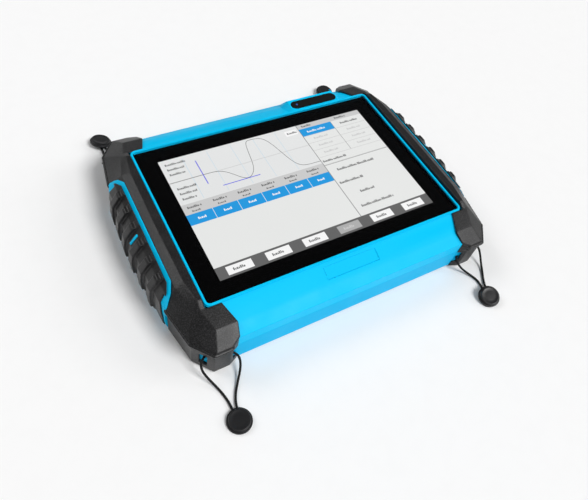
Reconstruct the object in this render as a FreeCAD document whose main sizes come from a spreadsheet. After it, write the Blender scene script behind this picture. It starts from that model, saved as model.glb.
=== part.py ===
import FreeCAD, Part
import math
import os
import re
import Sketcher

# A rugged field instrument with a touch display: two moulded housings with rubber guards, side grips and
# four strap anchors on thin cords. It lies on its back, the display facing up: +X is to the display's
# right, +Y to its top edge and +Z out of the glass. The origin is on the resting plane, below the middle.
# All sizes are in millimetres.

doc = FreeCAD.newDocument("field_instrument")
V = FreeCAD.Vector

# ---------------------------------------------------------------------------------------------- sizes
SIZES = {
    # display and the bead round it
    "glass_width": 252.0,
    "glass_depth": 168.0,
    "glass_thickness": 2.0,
    "glass_top": 49.0,
    "glass_corner": 3.0,
    "glass_gap": 0.15,
    "tape_thickness": 0.3,
    "bead_width": 2.3,
    "bead_rise": 0.7,
    "panel_thickness": 4.4,
    "panel_gap": 0.3,
    # housings, measured outwards from the edge of the glass
    "house_out": 14.0,
    "front_fore": 29.6,
    "rear_fore": 27.2,
    "corner_in": 12.0,
    "corner_back": 2.5,
    "wall": 3.0,
    "under": 2.3,
    "split": 25.0,
    "shelf_drop": 3.5,
    "brow_drop": 1.0,
    "slope_run": 16.7,
    "slope_drop": 6.6,
    "step_run": 2.6,
    "step_drop": 8.2,
    "shoulder_drop": 12.2,
    "ceiling_drop": 5.5,
    "low_ceiling_drop": 14.0,
    "low_ceiling_in": 9.8,
    "upper_room_half": 70.0,
    "pod_left": 36.0,
    "pod_right": 102.0,
    "pod_rise": 1.0,
    "pod_run": 15.7,
    "pod_ramp": 6.0,
    "pod_proud": 1.7,
    # rubber guards
    "guard_gap": 0.7,
    "lip_drop": 14.2,
    "lip_band": 6.6,
    "lip_step": 0.9,
    "rim_rise": 3.7,
    "foot_chamfer": 2.0,
    "ridge_out": 9.0,
    "ridge_fore": 34.9,
    "chamfer_out": 22.2,
    "chamfer_fore": 18.4,
    "flare_out": 28.2,
    "bulge_out": 30.0,
    "rim_ridge_in": 18.0,
    "rim_ridge_fore": 26.0,
    "rim_chamfer_out": 7.0,
    "rim_chamfer_back": 4.7,
    "rim_flare_out": 9.8,
    "rim_bulge_out": 10.4,
    "shoulder_flare_out": 17.2,
    "shoulder_bulge_out": 18.5,
    "end_top_in": 10.3,
    "end_knee_in": 16.2,
    "end_knee_fore": 20.1,
    "end_root_in": 13.8,
    "end_lip_in": 5.0,
    "nose_back": 4.5,
    "nose_knee_drop": 4.4,
    "nose_lip_drop": 13.7,
    # side grips
    "grip_half": 68.0,
    "grip_head_half": 54.0,
    "grip_head_out": 17.4,
    "grip_neck_half": 61.5,
    "grip_neck_out": 20.6,
    "grip_border": 3.0,
    "grip_base": 2.3,
    "pad_thickness": 1.4,
    "rib_height": 1.8,
    "rib_width": 7.0,
    "rib_pitch": 18.0,
    "accent_width": 2.2,
    # strap lugs, anchor discs and their cords
    "bumper_wall": 3.2,
    "lug_low": 8.0,
    "lug_high": 26.0,
    "lug_slot_width": 7.0,
    "lug_slot_height": 15.0,
    "tunnel_width": 3.4,
    "cord_width": 2.0,
    "disc_width": 20.4,
    "disc_base": 2.3,
    "disc_cap_width": 17.2,
    "disc_cap_rise": 2.3,
    # name plate, status light and microphone
    "plate_length": 53.0,
    "plate_width": 10.8,
    "plate_thickness": 1.2,
    "plate_middle": 69.5,
    "plate_along": 7.3,
    "plate_proud": 0.3,
    "light_width": 2.2,
    "light_inset": 6.4,
    "microphone_hole": 1.2,
    "microphone_place": 8.0,
    "microphone_along": 9.4,
    "recess_length": 52.0,
    "recess_width": 11.0,
    "recess_deep": 0.4,
    # electronics
    "panel_margin_across": 22.6,
    "panel_margin_along": 19.0,
    "bracket_thickness": 1.0,
    "bracket_flange": 2.2,
    "board_margin_across": 38.0,
    "board_margin_along": 46.0,
    "board_thickness": 1.6,
    "board_height": 29.0,
    "board_shift": 24.0,
    "standoff_width": 7.0,
    "shield_width": 84.0,
    "shield_depth": 56.0,
    "shield_height": 7.0,
    "cover_width": 46.0,
    "battery_set_back": 28.0,
    "battery_width": 150.0,
    "battery_depth": 68.0,
    "battery_height": 18.4,
    "door_margin": 7.0,
    "door_gap": 0.2,
    "door_thickness": 2.2,
    "speaker_width": 28.0,
    "speaker_height": 6.0,
    # rear wall controls
    "panel_plate_width": 92.0,
    "panel_plate_height": 17.0,
    "panel_plate_thickness": 2.2,
    "port_level": 14.0,
    "port_pitch": 44.0,
    "port_width": 12.0,
    "port_bore": 8.6,
    "port_reach": 6.4,
    "port_deep": 8.0,
    "hatch_middle": 76.0,
    "hatch_width": 36.0,
    "hatch_height": 15.0,
    "hatch_thickness": 2.4,
    "hatch_gap": 0.3,
    "hinge_pin": 1.6,
    "hinge_play": 0.05,
    "knuckle": 4.4,
    "socket_wall": 0.5,
    "key_middle": 76.0,
    "key_width": 11.0,
    "key_proud": 1.6,
    "key_gap": 0.3,
    "key_travel": 1.0,
    # fasteners
    "boss_width": 9.6,
    "boss_to_hatch": 23.08,
    "screw_width": 3.0,
    "screw_head": 5.6,
    "screw_head_height": 2.2,
    "screw_length": 10.0,
    "screw_bite": 7.0,
    "pilot": 2.6,
    "gasket_in": 0.9,
    "gasket_width": 1.2,
    "gasket_height": 1.2,
}

# Sizes that follow others: the panel and the board keep their margins to the glass.
FOLLOWING = {
    "panel_width": "glass_width - panel_margin_across",
    "panel_depth": "glass_depth - panel_margin_along",
    "board_width": "glass_width - board_margin_across",
    "board_depth": "glass_depth - board_margin_along",
    "battery_middle": "glass_depth / 2 - battery_set_back",
}

sizes = doc.addObject("Spreadsheet::Sheet", "Sizes")
for row, (alias, number) in enumerate({**SIZES, **FOLLOWING}.items(), start=1):
    sizes.set(f"A{row}", alias)
    sizes.set(f"B{row}", f"={number}")
    sizes.setAlias(f"B{row}", alias)
doc.recompute()


def bound(text):
    """The expression with every alias written as a cell of the sheet."""
    aliases = {**SIZES, **FOLLOWING}
    return re.sub(r"[a-z_]+", lambda word: f"Sizes.{word[0]}" if word[0] in aliases else word[0], text)


def value(text):
    """The number that an expression has now."""
    return float(sizes.evalExpression(bound(text)))


# --------------------------------------------------------------------------------------- shared places
HALF_W = "glass_width / 2"
HALF_D = "glass_depth / 2"
SHELF = "glass_top - shelf_drop"
BROW = "glass_top - brow_drop"
SEAT = "glass_top - glass_thickness - tape_thickness"
CEILING = "glass_top - ceiling_drop"
LOW_CEILING = "glass_top - low_ceiling_drop"
SHOULDER = "glass_top - shoulder_drop"
LIP = "glass_top - lip_drop"
RIM = "glass_top + rim_rise"
FLOOR = "under + wall"
HOUSE_X = f"({HALF_W} + house_out)"
FRONT_Y = f"({HALF_D} + front_fore)"
REAR_Y = f"({HALF_D} + rear_fore)"
CORNER_X = f"({HALF_W} - corner_in)"
CORNER_Y = f"({HALF_D} - corner_back)"
BEAD_X = f"({HALF_W} + bead_width)"
BEAD_Y = f"({HALF_D} + bead_width)"
GUARD_X = f"({BEAD_X} + guard_gap)"
HIGH = f"({RIM} + 20)"
SCREW_SEAT = "split + screw_bite - screw_length"
RIDGE = (f"{HALF_W} + ridge_out", f"{HALF_D} + ridge_fore")
CHAMFER = (f"{HALF_W} + chamfer_out", f"{HALF_D} + chamfer_fore")
FLARE = (f"{HALF_W} + flare_out", "grip_half")
END_LIP = (f"{HALF_W} - end_lip_in", f"{HALF_D} + ridge_fore")


# ------------------------------------------------------------------------------------------- sketching
def new_body(name):
    return doc.addObject("PartDesign::Body", name)


def sketch_on(body, name, plane="XY_Plane", offset="0"):
    sketch = body.newObject("Sketcher::SketchObject", name)
    origin_plane = next(f for f in body.Origin.OriginFeatures if f.Role == plane)
    sketch.AttachmentSupport = (origin_plane, [""])
    sketch.MapMode = "FlatFace"
    sketch.setExpression(".AttachmentOffset.Base.z", bound(offset))
    return sketch


def place(sketch, geo, end, across, up):
    """Hold one point of a sketch at the place that two expressions give."""
    for kind, axis, text in (("DistanceX", -2, across), ("DistanceY", -1, up)):
        number = value(text)
        if abs(number) < 1e-9:
            sketch.addConstraint(Sketcher.Constraint("PointOnObject", geo, end, axis))
        else:
            index = sketch.addConstraint(Sketcher.Constraint(kind, -1, 1, geo, end, number))
            sketch.setExpression(f"Constraints[{index}]", bound(text))


def outline(sketch, points):
    """A closed outline of straight sides through points given as pairs of expressions."""
    spots = [V(value(x), value(y), 0) for x, y in points]
    first = sketch.GeometryCount
    count = len(points)
    for i in range(count):
        sketch.addGeometry(Part.LineSegment(spots[i], spots[(i + 1) % count]), False)
    for i in range(count):
        following = first + (i + 1) % count
        sketch.addConstraint(Sketcher.Constraint("Coincident", first + i, 2, following, 1))
    for i, (across, up) in enumerate(points):
        place(sketch, first + i, 1, across, up)


def ring(sketch, across, up, width):
    """A circle of the given width round a held centre."""
    circle = Part.Circle(V(value(across), value(up), 0), V(0, 0, 1), value(width) / 2)
    index = sketch.addGeometry(circle, False)
    place(sketch, index, 3, across, up)
    held = sketch.addConstraint(Sketcher.Constraint("Diameter", index, value(width)))
    sketch.setExpression(f"Constraints[{held}]", bound(width))


def box_points(x_low, x_high, y_low, y_high):
    return [(x_low, y_low), (x_high, y_low), (x_high, y_high), (x_low, y_high)]


def round_box(sketch, half_x, half_y, radius):
    """A rectangle with round corners about the origin."""
    across, up, size = (value(text) for text in (half_x, half_y, radius))
    signs = [(1, 1), (-1, 1), (-1, -1), (1, -1)]
    for i, (side_x, side_y) in enumerate(signs):
        circle = Part.Circle(V(side_x * (across - size), side_y * (up - size), 0), V(0, 0, 1), size)
        sketch.addGeometry(Part.ArcOfCircle(circle, i * math.pi / 2, (i + 1) * math.pi / 2), False)
    for i in range(4):
        ends = [sketch.getPoint(i, 2), sketch.getPoint((i + 1) % 4, 1)]
        sketch.addGeometry(Part.LineSegment(*ends), False)
    for i, (side_x, side_y) in enumerate(signs):
        sketch.addConstraint(Sketcher.Constraint("Tangent", i, 2, 4 + i, 1))
        sketch.addConstraint(Sketcher.Constraint("Tangent", 4 + i, 2, (i + 1) % 4, 1))
        place(sketch, i, 3, f"{side_x} * (({half_x}) - ({radius}))", f"{side_y} * (({half_y}) - ({radius}))")
        held = sketch.addConstraint(Sketcher.Constraint("Radius", i, size))
        sketch.setExpression(f"Constraints[{held}]", bound(radius))


def mirrored(points, side_x, side_y):
    """The points of the right front corner, turned over to another corner."""
    return [(f"{side_x} * ({x})", f"{side_y} * ({y})") for x, y in points]


# -------------------------------------------------------------------------------------------- features
def pad(body, sketch, length, name="Pad"):
    feature = body.newObject("PartDesign::Pad", name)
    feature.Profile = sketch
    feature.setExpression("Length", bound(length))
    doc.recompute()
    return feature


def pocket(body, sketch, length, name="Pocket", reverse=False, through=False):
    """A cut from a sketch; the volume has to fall, or the cut points away from the solid."""
    before = body.Shape.Volume
    feature = body.newObject("PartDesign::Pocket", name)
    feature.Profile = sketch
    feature.Reversed = reverse
    if through:
        feature.Type = "ThroughAll"
        feature.Midplane = True
    else:
        feature.setExpression("Length", bound(length))
    doc.recompute()
    if body.Shape.Volume > before - 1e-6:
        raise ValueError(f"{body.Label}: {name} removes nothing")
    return feature


def prism(name, points, low, high, plane="XY_Plane"):
    """A body padded between two levels from one closed outline."""
    body = new_body(name)
    sketch = sketch_on(body, f"{name}_outline", plane, low)
    outline(sketch, points)
    pad(body, sketch, f"({high}) - ({low})")
    return body


def plate(name, x_low, x_high, y_low, y_high, z_low, z_high):
    return prism(name, box_points(x_low, x_high, y_low, y_high), z_low, z_high)


def rod(name, radius, length, base=(), turn=None):
    """A cylinder from a base point, along Z unless it is turned."""
    cylinder = doc.addObject("Part::Cylinder", name)
    cylinder.setExpression("Radius", bound(radius))
    cylinder.setExpression("Height", bound(length))
    if turn:
        cylinder.Placement = FreeCAD.Placement(V(), FreeCAD.Rotation(*turn))
    for axis, text in zip("xyz", base):
        cylinder.setExpression(f".Placement.Base.{axis}", bound(text))
    return cylinder


def cut(name, base, tools):
    """The base with every tool taken out of it."""
    result = doc.addObject("Part::Cut", name)
    result.Base = base
    result.Tool = tools[0] if len(tools) == 1 else joined(f"{name}_tools", tools)
    doc.recompute()
    if not result.Shape.Volume < base.Shape.Volume:
        raise ValueError(f"{name}: the cut removes nothing")
    return result


def joined(name, pieces):
    union = doc.addObject("Part::MultiFuse", name)
    union.Shapes = pieces
    doc.recompute()
    return union


def shared(name, pieces):
    common = doc.addObject("Part::MultiCommon", name)
    common.Shapes = pieces
    doc.recompute()
    return common


def upright_edges(shape, low, high):
    """Names of the straight upright edges between two levels."""
    names = []
    for i, edge in enumerate(shape.Edges, start=1):
        box = edge.BoundBox
        is_upright = box.XLength < 1e-3 and box.YLength < 1e-3
        if is_upright and box.ZMin > low - 1e-3 and box.ZMax < high + 1e-3:
            names.append(f"Edge{i}")
    return names


def round_upright(body, radius, low, high, within=None):
    """Round a body's upright edges, all of them or those whose place a test accepts."""
    names = upright_edges(body.Shape, value(low), value(high))
    if within:
        names = [n for n in names if within(body.Shape.getElement(n).CenterOfMass)]
    solid = body.Tip
    feature = body.newObject("PartDesign::Fillet", "Rounding")
    feature.Base = (solid, names)
    feature.setExpression("Radius", bound(radius))
    doc.recompute()
    return feature


NODES = {}


def keep(node, thing):
    """Take an object as a finished piece; its label is the name of its file."""
    thing.Label = node
    NODES[node] = thing
    return thing


# -------------------------------------------------------------------------------------------- housings
def house_outline(inset="0"):
    """The eight-sided plan of the housings, moved inwards by a wall."""
    points = []
    for side_x, side_y in ((1, -1), (1, 1), (-1, 1), (-1, -1)):
        reach = FRONT_Y if side_y < 0 else REAR_Y
        run_x = f"({HOUSE_X} - {CORNER_X})"
        run_y = f"({reach} - {CORNER_Y})"
        slant = f"sqrt({run_x} ^ 2 + {run_y} ^ 2)"
        on_front = (
            f"{side_x} * ({CORNER_X} - ({inset}) * ({slant} - {run_x}) / {run_y})",
            f"{side_y} * ({reach} - ({inset}))",
        )
        on_side = (
            f"{side_x} * ({HOUSE_X} - ({inset}))",
            f"{side_y} * ({CORNER_Y} - ({inset}) * ({slant} - {run_y}) / {run_x})",
        )
        points += [on_front, on_side] if side_x * side_y < 0 else [on_side, on_front]
    return points


# Places of the housing screws, and how high the boss of each one reaches. Those in the long walls keep
# clear of the hatch.
BOSSES = [
    (f"{side_x} * {across}", f"{along:g} * {HALF_D}", top)
    for side_x in (-1, 1)
    for across, along, top in (
        (f"1.04 * {HALF_W}", -0.70, CEILING),
        (f"1.04 * {HALF_W}", 0.70, CEILING),
        ("(hatch_middle - boss_to_hatch)", -1.235, LOW_CEILING),
        ("(hatch_middle - boss_to_hatch)", 1.205, LOW_CEILING),
    )
]


def boss_places():
    return [(across, along) for across, along, top in BOSSES]


def slope_profile(side_y):
    """The stepped slope from the bead down to the shoulder, in the YZ plane, and the space above it."""
    reach = FRONT_Y if side_y < 0 else REAR_Y
    bend = f"({reach} - {FRONT_Y})"
    points = [
        (BEAD_Y, HIGH),
        (BEAD_Y, BROW),
        (f"{BEAD_Y} + slope_run + {bend} / 2", "glass_top - slope_drop"),
        (f"{BEAD_Y} + slope_run + step_run + {bend} / 2", "glass_top - step_drop"),
        (reach, SHOULDER),
        (f"{reach} + 20", SHOULDER),
        (f"{reach} + 20", HIGH),
    ]
    return [(f"{side_y} * ({y})", z) for y, z in points]


def pod_profile(full):
    """The label pod across the rear slope, in the YZ plane: flat on top where it is full, and sunk into
    the slope where it isn't."""
    bend = f"({REAR_Y} - {FRONT_Y}) / 2"
    top = f"{BROW} + pod_rise" if full else f"{BROW} - 0.6"
    edge = f"{BROW} + pod_rise" if full else "glass_top - slope_drop - 0.6"
    foot = "pod_proud" if full else "-0.6"
    return [
        (f"{BEAD_Y} - 0.5", f"{BROW} - 1"),
        (f"{BEAD_Y} - 0.5", top),
        (f"{BEAD_Y} + pod_run + {bend} + 1.2", edge),
        (f"{REAR_Y} + {foot}", f"{SHOULDER} - 1"),
        (f"{REAR_Y} + {foot}", f"{SHOULDER} - 5"),
        (f"{REAR_Y} - 2", f"{SHOULDER} - 7"),
    ]


def lay_on_pod(thing, middle_x):
    """Place a thing modelled flat at its own origin in the bed of the label pod."""
    bed = f"{BROW} + pod_rise - plate_thickness + plate_proud"
    thing.Placement = FreeCAD.Placement(
        V(value(middle_x), value(f"{BEAD_Y} + plate_along"), value(bed)), FreeCAD.Rotation()
    )
    return thing


def slope_turn(side_y):
    """Turning about X, in degrees, of a flat thing that lies on the slope."""
    reach = FRONT_Y if side_y < 0 else REAR_Y
    run = value(f"slope_run + ({reach} - {FRONT_Y}) / 2")
    return -side_y * math.degrees(math.atan2(value("slope_drop - brow_drop"), run))


def lay_on_slope(thing, side_y, middle_x, along, above):
    """Place a thing modelled flat at its own origin on the front or rear slope."""
    turn = FreeCAD.Rotation(V(1, 0, 0), slope_turn(side_y))
    start = V(value(middle_x), side_y * value(BEAD_Y), value(BROW))
    step = turn.multVec(V(0, side_y * value(along), value(above)))
    thing.Placement = FreeCAD.Placement(start + step, turn)
    return thing


def pill(name, length, width, thickness):
    """A flat plate with round ends, centred on its own origin."""
    body = new_body(name)
    sketch = sketch_on(body, f"{name}_outline")
    half = (value(length) - value(width)) / 2
    radius = value(width) / 2
    for sign in (1, -1):
        start = math.radians(-90 if sign > 0 else 90)
        circle = Part.Circle(V(sign * half, 0, 0), V(0, 0, 1), radius)
        sketch.addGeometry(Part.ArcOfCircle(circle, start, start + math.pi), False)
    sketch.addGeometry(Part.LineSegment(V(half, radius, 0), V(-half, radius, 0)), False)
    sketch.addGeometry(Part.LineSegment(V(-half, -radius, 0), V(half, -radius, 0)), False)
    for first, second in (((0, 2), (2, 1)), ((2, 2), (1, 1)), ((1, 2), (3, 1)), ((3, 2), (0, 1))):
        sketch.addConstraint(Sketcher.Constraint("Tangent", *first, *second))
    place(sketch, 0, 3, f"(({length}) - ({width})) / 2", "0")
    place(sketch, 1, 3, f"-(({length}) - ({width})) / 2", "0")
    held = sketch.addConstraint(Sketcher.Constraint("Radius", 0, radius))
    sketch.setExpression(f"Constraints[{held}]", bound(f"({width}) / 2"))
    pad(body, sketch, thickness)
    return body


def front_block(name):
    """The outside of the upper moulding without its bead: a block with side shelves and two slopes."""
    body = new_body(name)
    sketch = sketch_on(body, f"{name}_plan", offset="split")
    outline(sketch, house_outline())
    pad(body, sketch, f"({BROW}) - split", "Block")

    for side in (-1, 1):
        sketch = sketch_on(body, f"{name}_shelf_{'left' if side < 0 else 'right'}", "XZ_Plane")
        outline(sketch, box_points(f"{side} * {GUARD_X}", f"{side} * ({HOUSE_X} + 20)", SHELF, HIGH))
        pocket(body, sketch, "0", "Shelf", through=True)
    for side in (-1, 1):
        sketch = sketch_on(body, f"{name}_slope_{'front' if side < 0 else 'rear'}", "YZ_Plane")
        outline(sketch, slope_profile(side))
        pocket(body, sketch, "0", "Slope", through=True)
    return body


def front_housing():
    """The upper moulding: bead, glass seat, sloped brow, label pod and a ledge round the display."""
    body = front_block("front_shell")
    sketch = sketch_on(body, "bead_plan", offset=f"{BROW} - 0.5")
    round_box(sketch, BEAD_X, BEAD_Y, "glass_corner + bead_width")
    pad(body, sketch, "brow_drop + bead_rise + 0.5", "Bead")

    ends = []
    for i, (across, full) in enumerate(
        (
            ("pod_left", 0),
            ("pod_left + pod_ramp", 1),
            ("pod_right - pod_ramp", 1),
            ("pod_right", 0),
        )
    ):
        sketch = sketch_on(body, f"pod_end_{i}", "YZ_Plane", across)
        outline(sketch, pod_profile(full))
        ends.append(sketch)
    pod = body.newObject("PartDesign::AdditiveLoft", "Pod")
    pod.Profile = ends[0]
    pod.Sections = ends[1:]
    pod.Ruled = True
    doc.recompute()

    sketch = sketch_on(body, "seat_plan", offset=SEAT)
    round_box(sketch, f"{HALF_W} + glass_gap", f"{HALF_D} + glass_gap", "glass_corner + glass_gap")
    pocket(body, sketch, f"{HIGH} - ({SEAT})", "Seat", reverse=True)

    window_x = "panel_width / 2 + panel_gap"
    window_y = "panel_depth / 2 + panel_gap"
    sketch = sketch_on(body, "window_plan", offset=f"{CEILING} - 5")
    outline(sketch, box_points(f"-({window_x})", window_x, f"-({window_y})", window_y))
    pocket(body, sketch, "30", "Window", reverse=True)

    sketch = sketch_on(body, "lower_room", offset="split")
    outline(sketch, house_outline("wall"))
    pocket(body, sketch, f"{LOW_CEILING} - split", "LowerRoom", reverse=True)
    upper_y = f"({HALF_D} + low_ceiling_in)"
    side_x = f"({HOUSE_X} - wall)"
    sketch = sketch_on(body, "upper_room", offset=f"{LOW_CEILING} - 1")
    corner_x = f"({CORNER_X} - wall)"
    points = []
    for sign_x, sign_y in ((1, -1), (1, 1), (-1, 1), (-1, -1)):
        pair = [
            (f"{sign_x} * {corner_x}", f"{sign_y} * {upper_y}"),
            (f"{sign_x} * {side_x}", f"{sign_y} * upper_room_half"),
        ]
        points += pair if sign_x * sign_y < 0 else pair[::-1]
    outline(sketch, points)
    pocket(body, sketch, f"{CEILING} - ({LOW_CEILING}) + 1", "UpperRoom", reverse=True)

    for i, ((across, along), (_, _, top)) in enumerate(zip(boss_places(), BOSSES)):
        sketch = sketch_on(body, f"boss_{i}", offset="split")
        ring(sketch, across, along, "boss_width")
        pad(body, sketch, f"({top}) - split", "Boss")
        sketch = sketch_on(body, f"pilot_{i}", offset="split")
        ring(sketch, across, along, "pilot")
        pocket(body, sketch, "screw_bite + 1", "Pilot", reverse=True)

    plate_bed = pill("plate_bed", "plate_length", "plate_width", "plate_thickness + 8")
    lay_on_pod(plate_bed, "plate_middle")
    recess = new_body("label_recess")
    sketch = sketch_on(recess, "recess_plan")
    half_x, half_y = "recess_length / 2", "recess_width / 2"
    outline(sketch, box_points(f"-{half_x}", half_x, f"-{half_y}", half_y))
    pad(recess, sketch, "5")
    lay_on_slope(recess, -1, "0", "slope_run / 2 + 0.4", "-recess_deep")
    microphone = rod("microphone_bore", "microphone_hole / 2", "6")
    lay_on_slope(microphone, 1, "microphone_place", "microphone_along", "-2.5")
    return cut("front_housing", body, [plate_bed, recess, microphone])


def rear_housing():
    """The lower moulding: a tub with screw bosses, a battery bay and openings in its rear wall."""
    body = new_body("rear_shell")
    sketch = sketch_on(body, "rear_plan", offset="under")
    outline(sketch, house_outline())
    pad(body, sketch, "split - under", "Block")
    sketch = sketch_on(body, "rear_room", offset="split")
    outline(sketch, house_outline("wall"))
    pocket(body, sketch, f"split - ({FLOOR})", "Room")

    sketch = sketch_on(body, "gasket_groove", offset="split")
    outline(sketch, house_outline("gasket_in"))
    outline(sketch, house_outline("gasket_in + gasket_width"))
    pocket(body, sketch, "gasket_height", "Groove")

    for i, (across, along) in enumerate(boss_places()):
        sketch = sketch_on(body, f"post_{i}", offset=f"{FLOOR} - 0.5")
        ring(sketch, across, along, "boss_width")
        pad(body, sketch, f"split - ({FLOOR}) + 0.5", "Post")
        sketch = sketch_on(body, f"bore_{i}", offset="under")
        ring(sketch, across, along, "screw_width + 0.4")
        pocket(body, sketch, "split", "Bore", reverse=True)
        sketch = sketch_on(body, f"head_bore_{i}", offset="under")
        ring(sketch, across, along, "screw_head + 0.4")
        pocket(body, sketch, f"{SCREW_SEAT} - under", "HeadBore", reverse=True)

    bay_x = "battery_width / 2 + door_gap"
    bay_low = "-battery_middle - battery_depth / 2 - door_gap"
    bay_high = "-battery_middle + battery_depth / 2 + door_gap"
    sketch = sketch_on(body, "bay_plan", offset="under")
    outline(sketch, box_points(f"-({bay_x})", bay_x, bay_low, bay_high))
    pocket(body, sketch, "wall", "Bay", reverse=True)
    sketch = sketch_on(body, "door_plan", offset="under")
    outline(
        sketch,
        box_points(
            f"-({bay_x} + door_margin)",
            f"{bay_x} + door_margin",
            f"{bay_low} - door_margin",
            f"{bay_high} + door_margin",
        ),
    )
    pocket(body, sketch, "door_thickness", "DoorSeat", reverse=True)
    for across, along in door_screw_places():
        sketch = sketch_on(body, "door_pilot", offset="under")
        ring(sketch, across, along, "pilot")
        pocket(body, sketch, "wall", "DoorPilot", reverse=True)

    tools = [
        wall_opening("panel_opening", "0", "panel_plate_width - 2", "panel_plate_height - 2"),
        wall_opening("hatch_opening", "hatch_middle + 0.5", "hatch_width - 7", "hatch_height - 5"),
        rod(
            "key_opening",
            "key_width / 2 + key_gap",
            "wall + 2",
            ("-key_middle", f"{REAR_Y} + 1", "port_level"),
            (V(1, 0, 0), 90),
        ),
    ]
    return cut("rear_housing", body, tools)


def wall_opening(name, middle, width, height):
    """A rectangular way through the rear wall, level with the ports."""
    return plate(
        name,
        f"{middle} - ({width}) / 2",
        f"{middle} + ({width}) / 2",
        f"{REAR_Y} - wall - 1",
        f"{REAR_Y} + 1",
        f"port_level - ({height}) / 2",
        f"port_level + ({height}) / 2",
    )


def door_screw_places():
    """Places of the four screws of the battery door."""
    across = "battery_width / 2 + door_gap + door_margin / 2 - 0.2"
    along = "battery_depth / 2 - 8"
    return [
        (f"{side_x} * ({across})", f"-battery_middle + {side_y} * ({along})")
        for side_x in (-1, 1)
        for side_y in (-1, 1)
    ]


# ---------------------------------------------------------------------------------------------- guards
def guard_section(body, name, level, ridge, chamfer, flare, bulge):
    """One closed section of the guards' outside, from its corner points in the right front quarter."""
    sketch = sketch_on(body, name, offset=level)
    quarter = [ridge, chamfer, flare]
    points = mirrored(quarter, 1, -1) + [(bulge, "0")] + mirrored(quarter[::-1], 1, 1)
    points += mirrored(quarter, -1, 1) + [(f"-({bulge})", "0")] + mirrored(quarter[::-1], -1, -1)
    outline(sketch, points)
    return sketch


def guard_envelope():
    """The outside of both upper guards in one: a loft from the lip over the shoulder to the rim."""
    body = new_body("guard_envelope")
    share = "((lip_drop - 0.2) / (lip_drop + rim_rise))"
    rim_ridge = (f"{HALF_W} - rim_ridge_in", f"{HALF_D} + rim_ridge_fore")
    rim_chamfer = (f"{HALF_W} + rim_chamfer_out", f"{HALF_D} - rim_chamfer_back")
    middle_ridge = tuple(
        f"({low}) + (({high}) - ({low})) * {share}" for low, high in zip(RIDGE, rim_ridge)
    )
    middle_chamfer = tuple(
        f"({low}) + (({high}) - ({low})) * {share}" for low, high in zip(CHAMFER, rim_chamfer)
    )
    sections = [
        guard_section(body, "lip_section", LIP, RIDGE, CHAMFER, FLARE, f"{HALF_W} + bulge_out"),
        guard_section(
            body,
            "shoulder_section",
            "glass_top - 0.2",
            middle_ridge,
            middle_chamfer,
            (f"{HALF_W} + shoulder_flare_out", "grip_half - 6"),
            f"{HALF_W} + shoulder_bulge_out",
        ),
        guard_section(
            body,
            "rim_section",
            RIM,
            rim_ridge,
            rim_chamfer,
            (f"{HALF_W} + rim_flare_out", "grip_half - 8"),
            f"{HALF_W} + rim_bulge_out",
        ),
    ]
    loft = body.newObject("PartDesign::AdditiveLoft", "Envelope")
    loft.Profile = sections[0]
    loft.Sections = sections[1:]
    loft.Ruled = True
    doc.recompute()
    for side in (-1, 1):
        sketch = sketch_on(body, f"nose_{'front' if side < 0 else 'rear'}", "YZ_Plane")
        profile = [
            (f"{HALF_D} - nose_back", HIGH),
            (f"{HALF_D} - nose_back", RIM),
            (BEAD_Y, "glass_top + bead_rise - 0.2"),
            (f"{HALF_D} + end_knee_fore", "glass_top - nose_knee_drop"),
            (f"{HALF_D} + ridge_fore + 0.6", "glass_top - nose_lip_drop"),
            (f"{HALF_D} + ridge_fore + 20", "glass_top - nose_lip_drop"),
            (f"{HALF_D} + ridge_fore + 20", HIGH),
        ]
        outline(sketch, [(f"{side} * ({y})", z) for y, z in profile])
        pocket(body, sketch, "0", "Nose", through=True)
    return body


def guard_zone(side):
    """The plan of one upper guard: outboard of the bead, with hooked ends on the front and rear slopes."""
    inner = [
        (f"{HALF_W} - end_top_in", BEAD_Y),
        (f"{HALF_W} - end_knee_in", f"{HALF_D} + end_knee_fore"),
        (f"{HALF_W} - end_root_in", FRONT_Y),
        END_LIP,
        (f"{HALF_W} - end_lip_in", f"{HALF_D} + ridge_fore + 20"),
    ]
    far = f"{HALF_W} + bulge_out + 20"
    points = [(GUARD_X, f"-{BEAD_Y}")] + mirrored(inner, 1, -1)
    points += [(far, f"-({inner[-1][1]})"), (far, inner[-1][1])] + inner[::-1] + [(GUARD_X, BEAD_Y)]
    return [(f"{side} * ({x})", y) for x, y in points]


def grip_window(side, border="0"):
    """The plan of the window in a guard that the side grip fills."""
    far = f"{HALF_W} + bulge_out + 20"
    half = [
        (f"{HALF_W} + grip_head_out + ({border})", f"grip_head_half - ({border}) * 0.4"),
        (f"{HALF_W} + grip_neck_out + ({border}) * 0.9", f"grip_neck_half - ({border}) * 0.6"),
        (f"{HALF_W} + grip_neck_out + 6 + ({border}) * 0.3", f"grip_half - ({border})"),
        (far, f"grip_half - ({border})"),
    ]
    points = mirrored(half, 1, -1) + mirrored(half[::-1], 1, 1)
    return [(f"{side} * ({x})", y) for x, y in points]


def upper_guard(side, envelope, block):
    name = "right" if side > 0 else "left"
    zone = prism(f"guard_zone_{name}", guard_zone(side), LIP, HIGH)
    window = prism(f"grip_window_{name}", grip_window(side), f"{LIP} - 1", HIGH)
    piece = shared(f"guard_blank_{name}", [envelope, zone])
    return cut(f"upper_guard_{name}", piece, [block, window]), window


CORNERS = {
    "front_left": (-1, -1),
    "front_right": (1, -1),
    "rear_left": (-1, 1),
    "rear_right": (1, 1),
}


def reach_of(side_y):
    return FRONT_Y if side_y < 0 else REAR_Y


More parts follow.
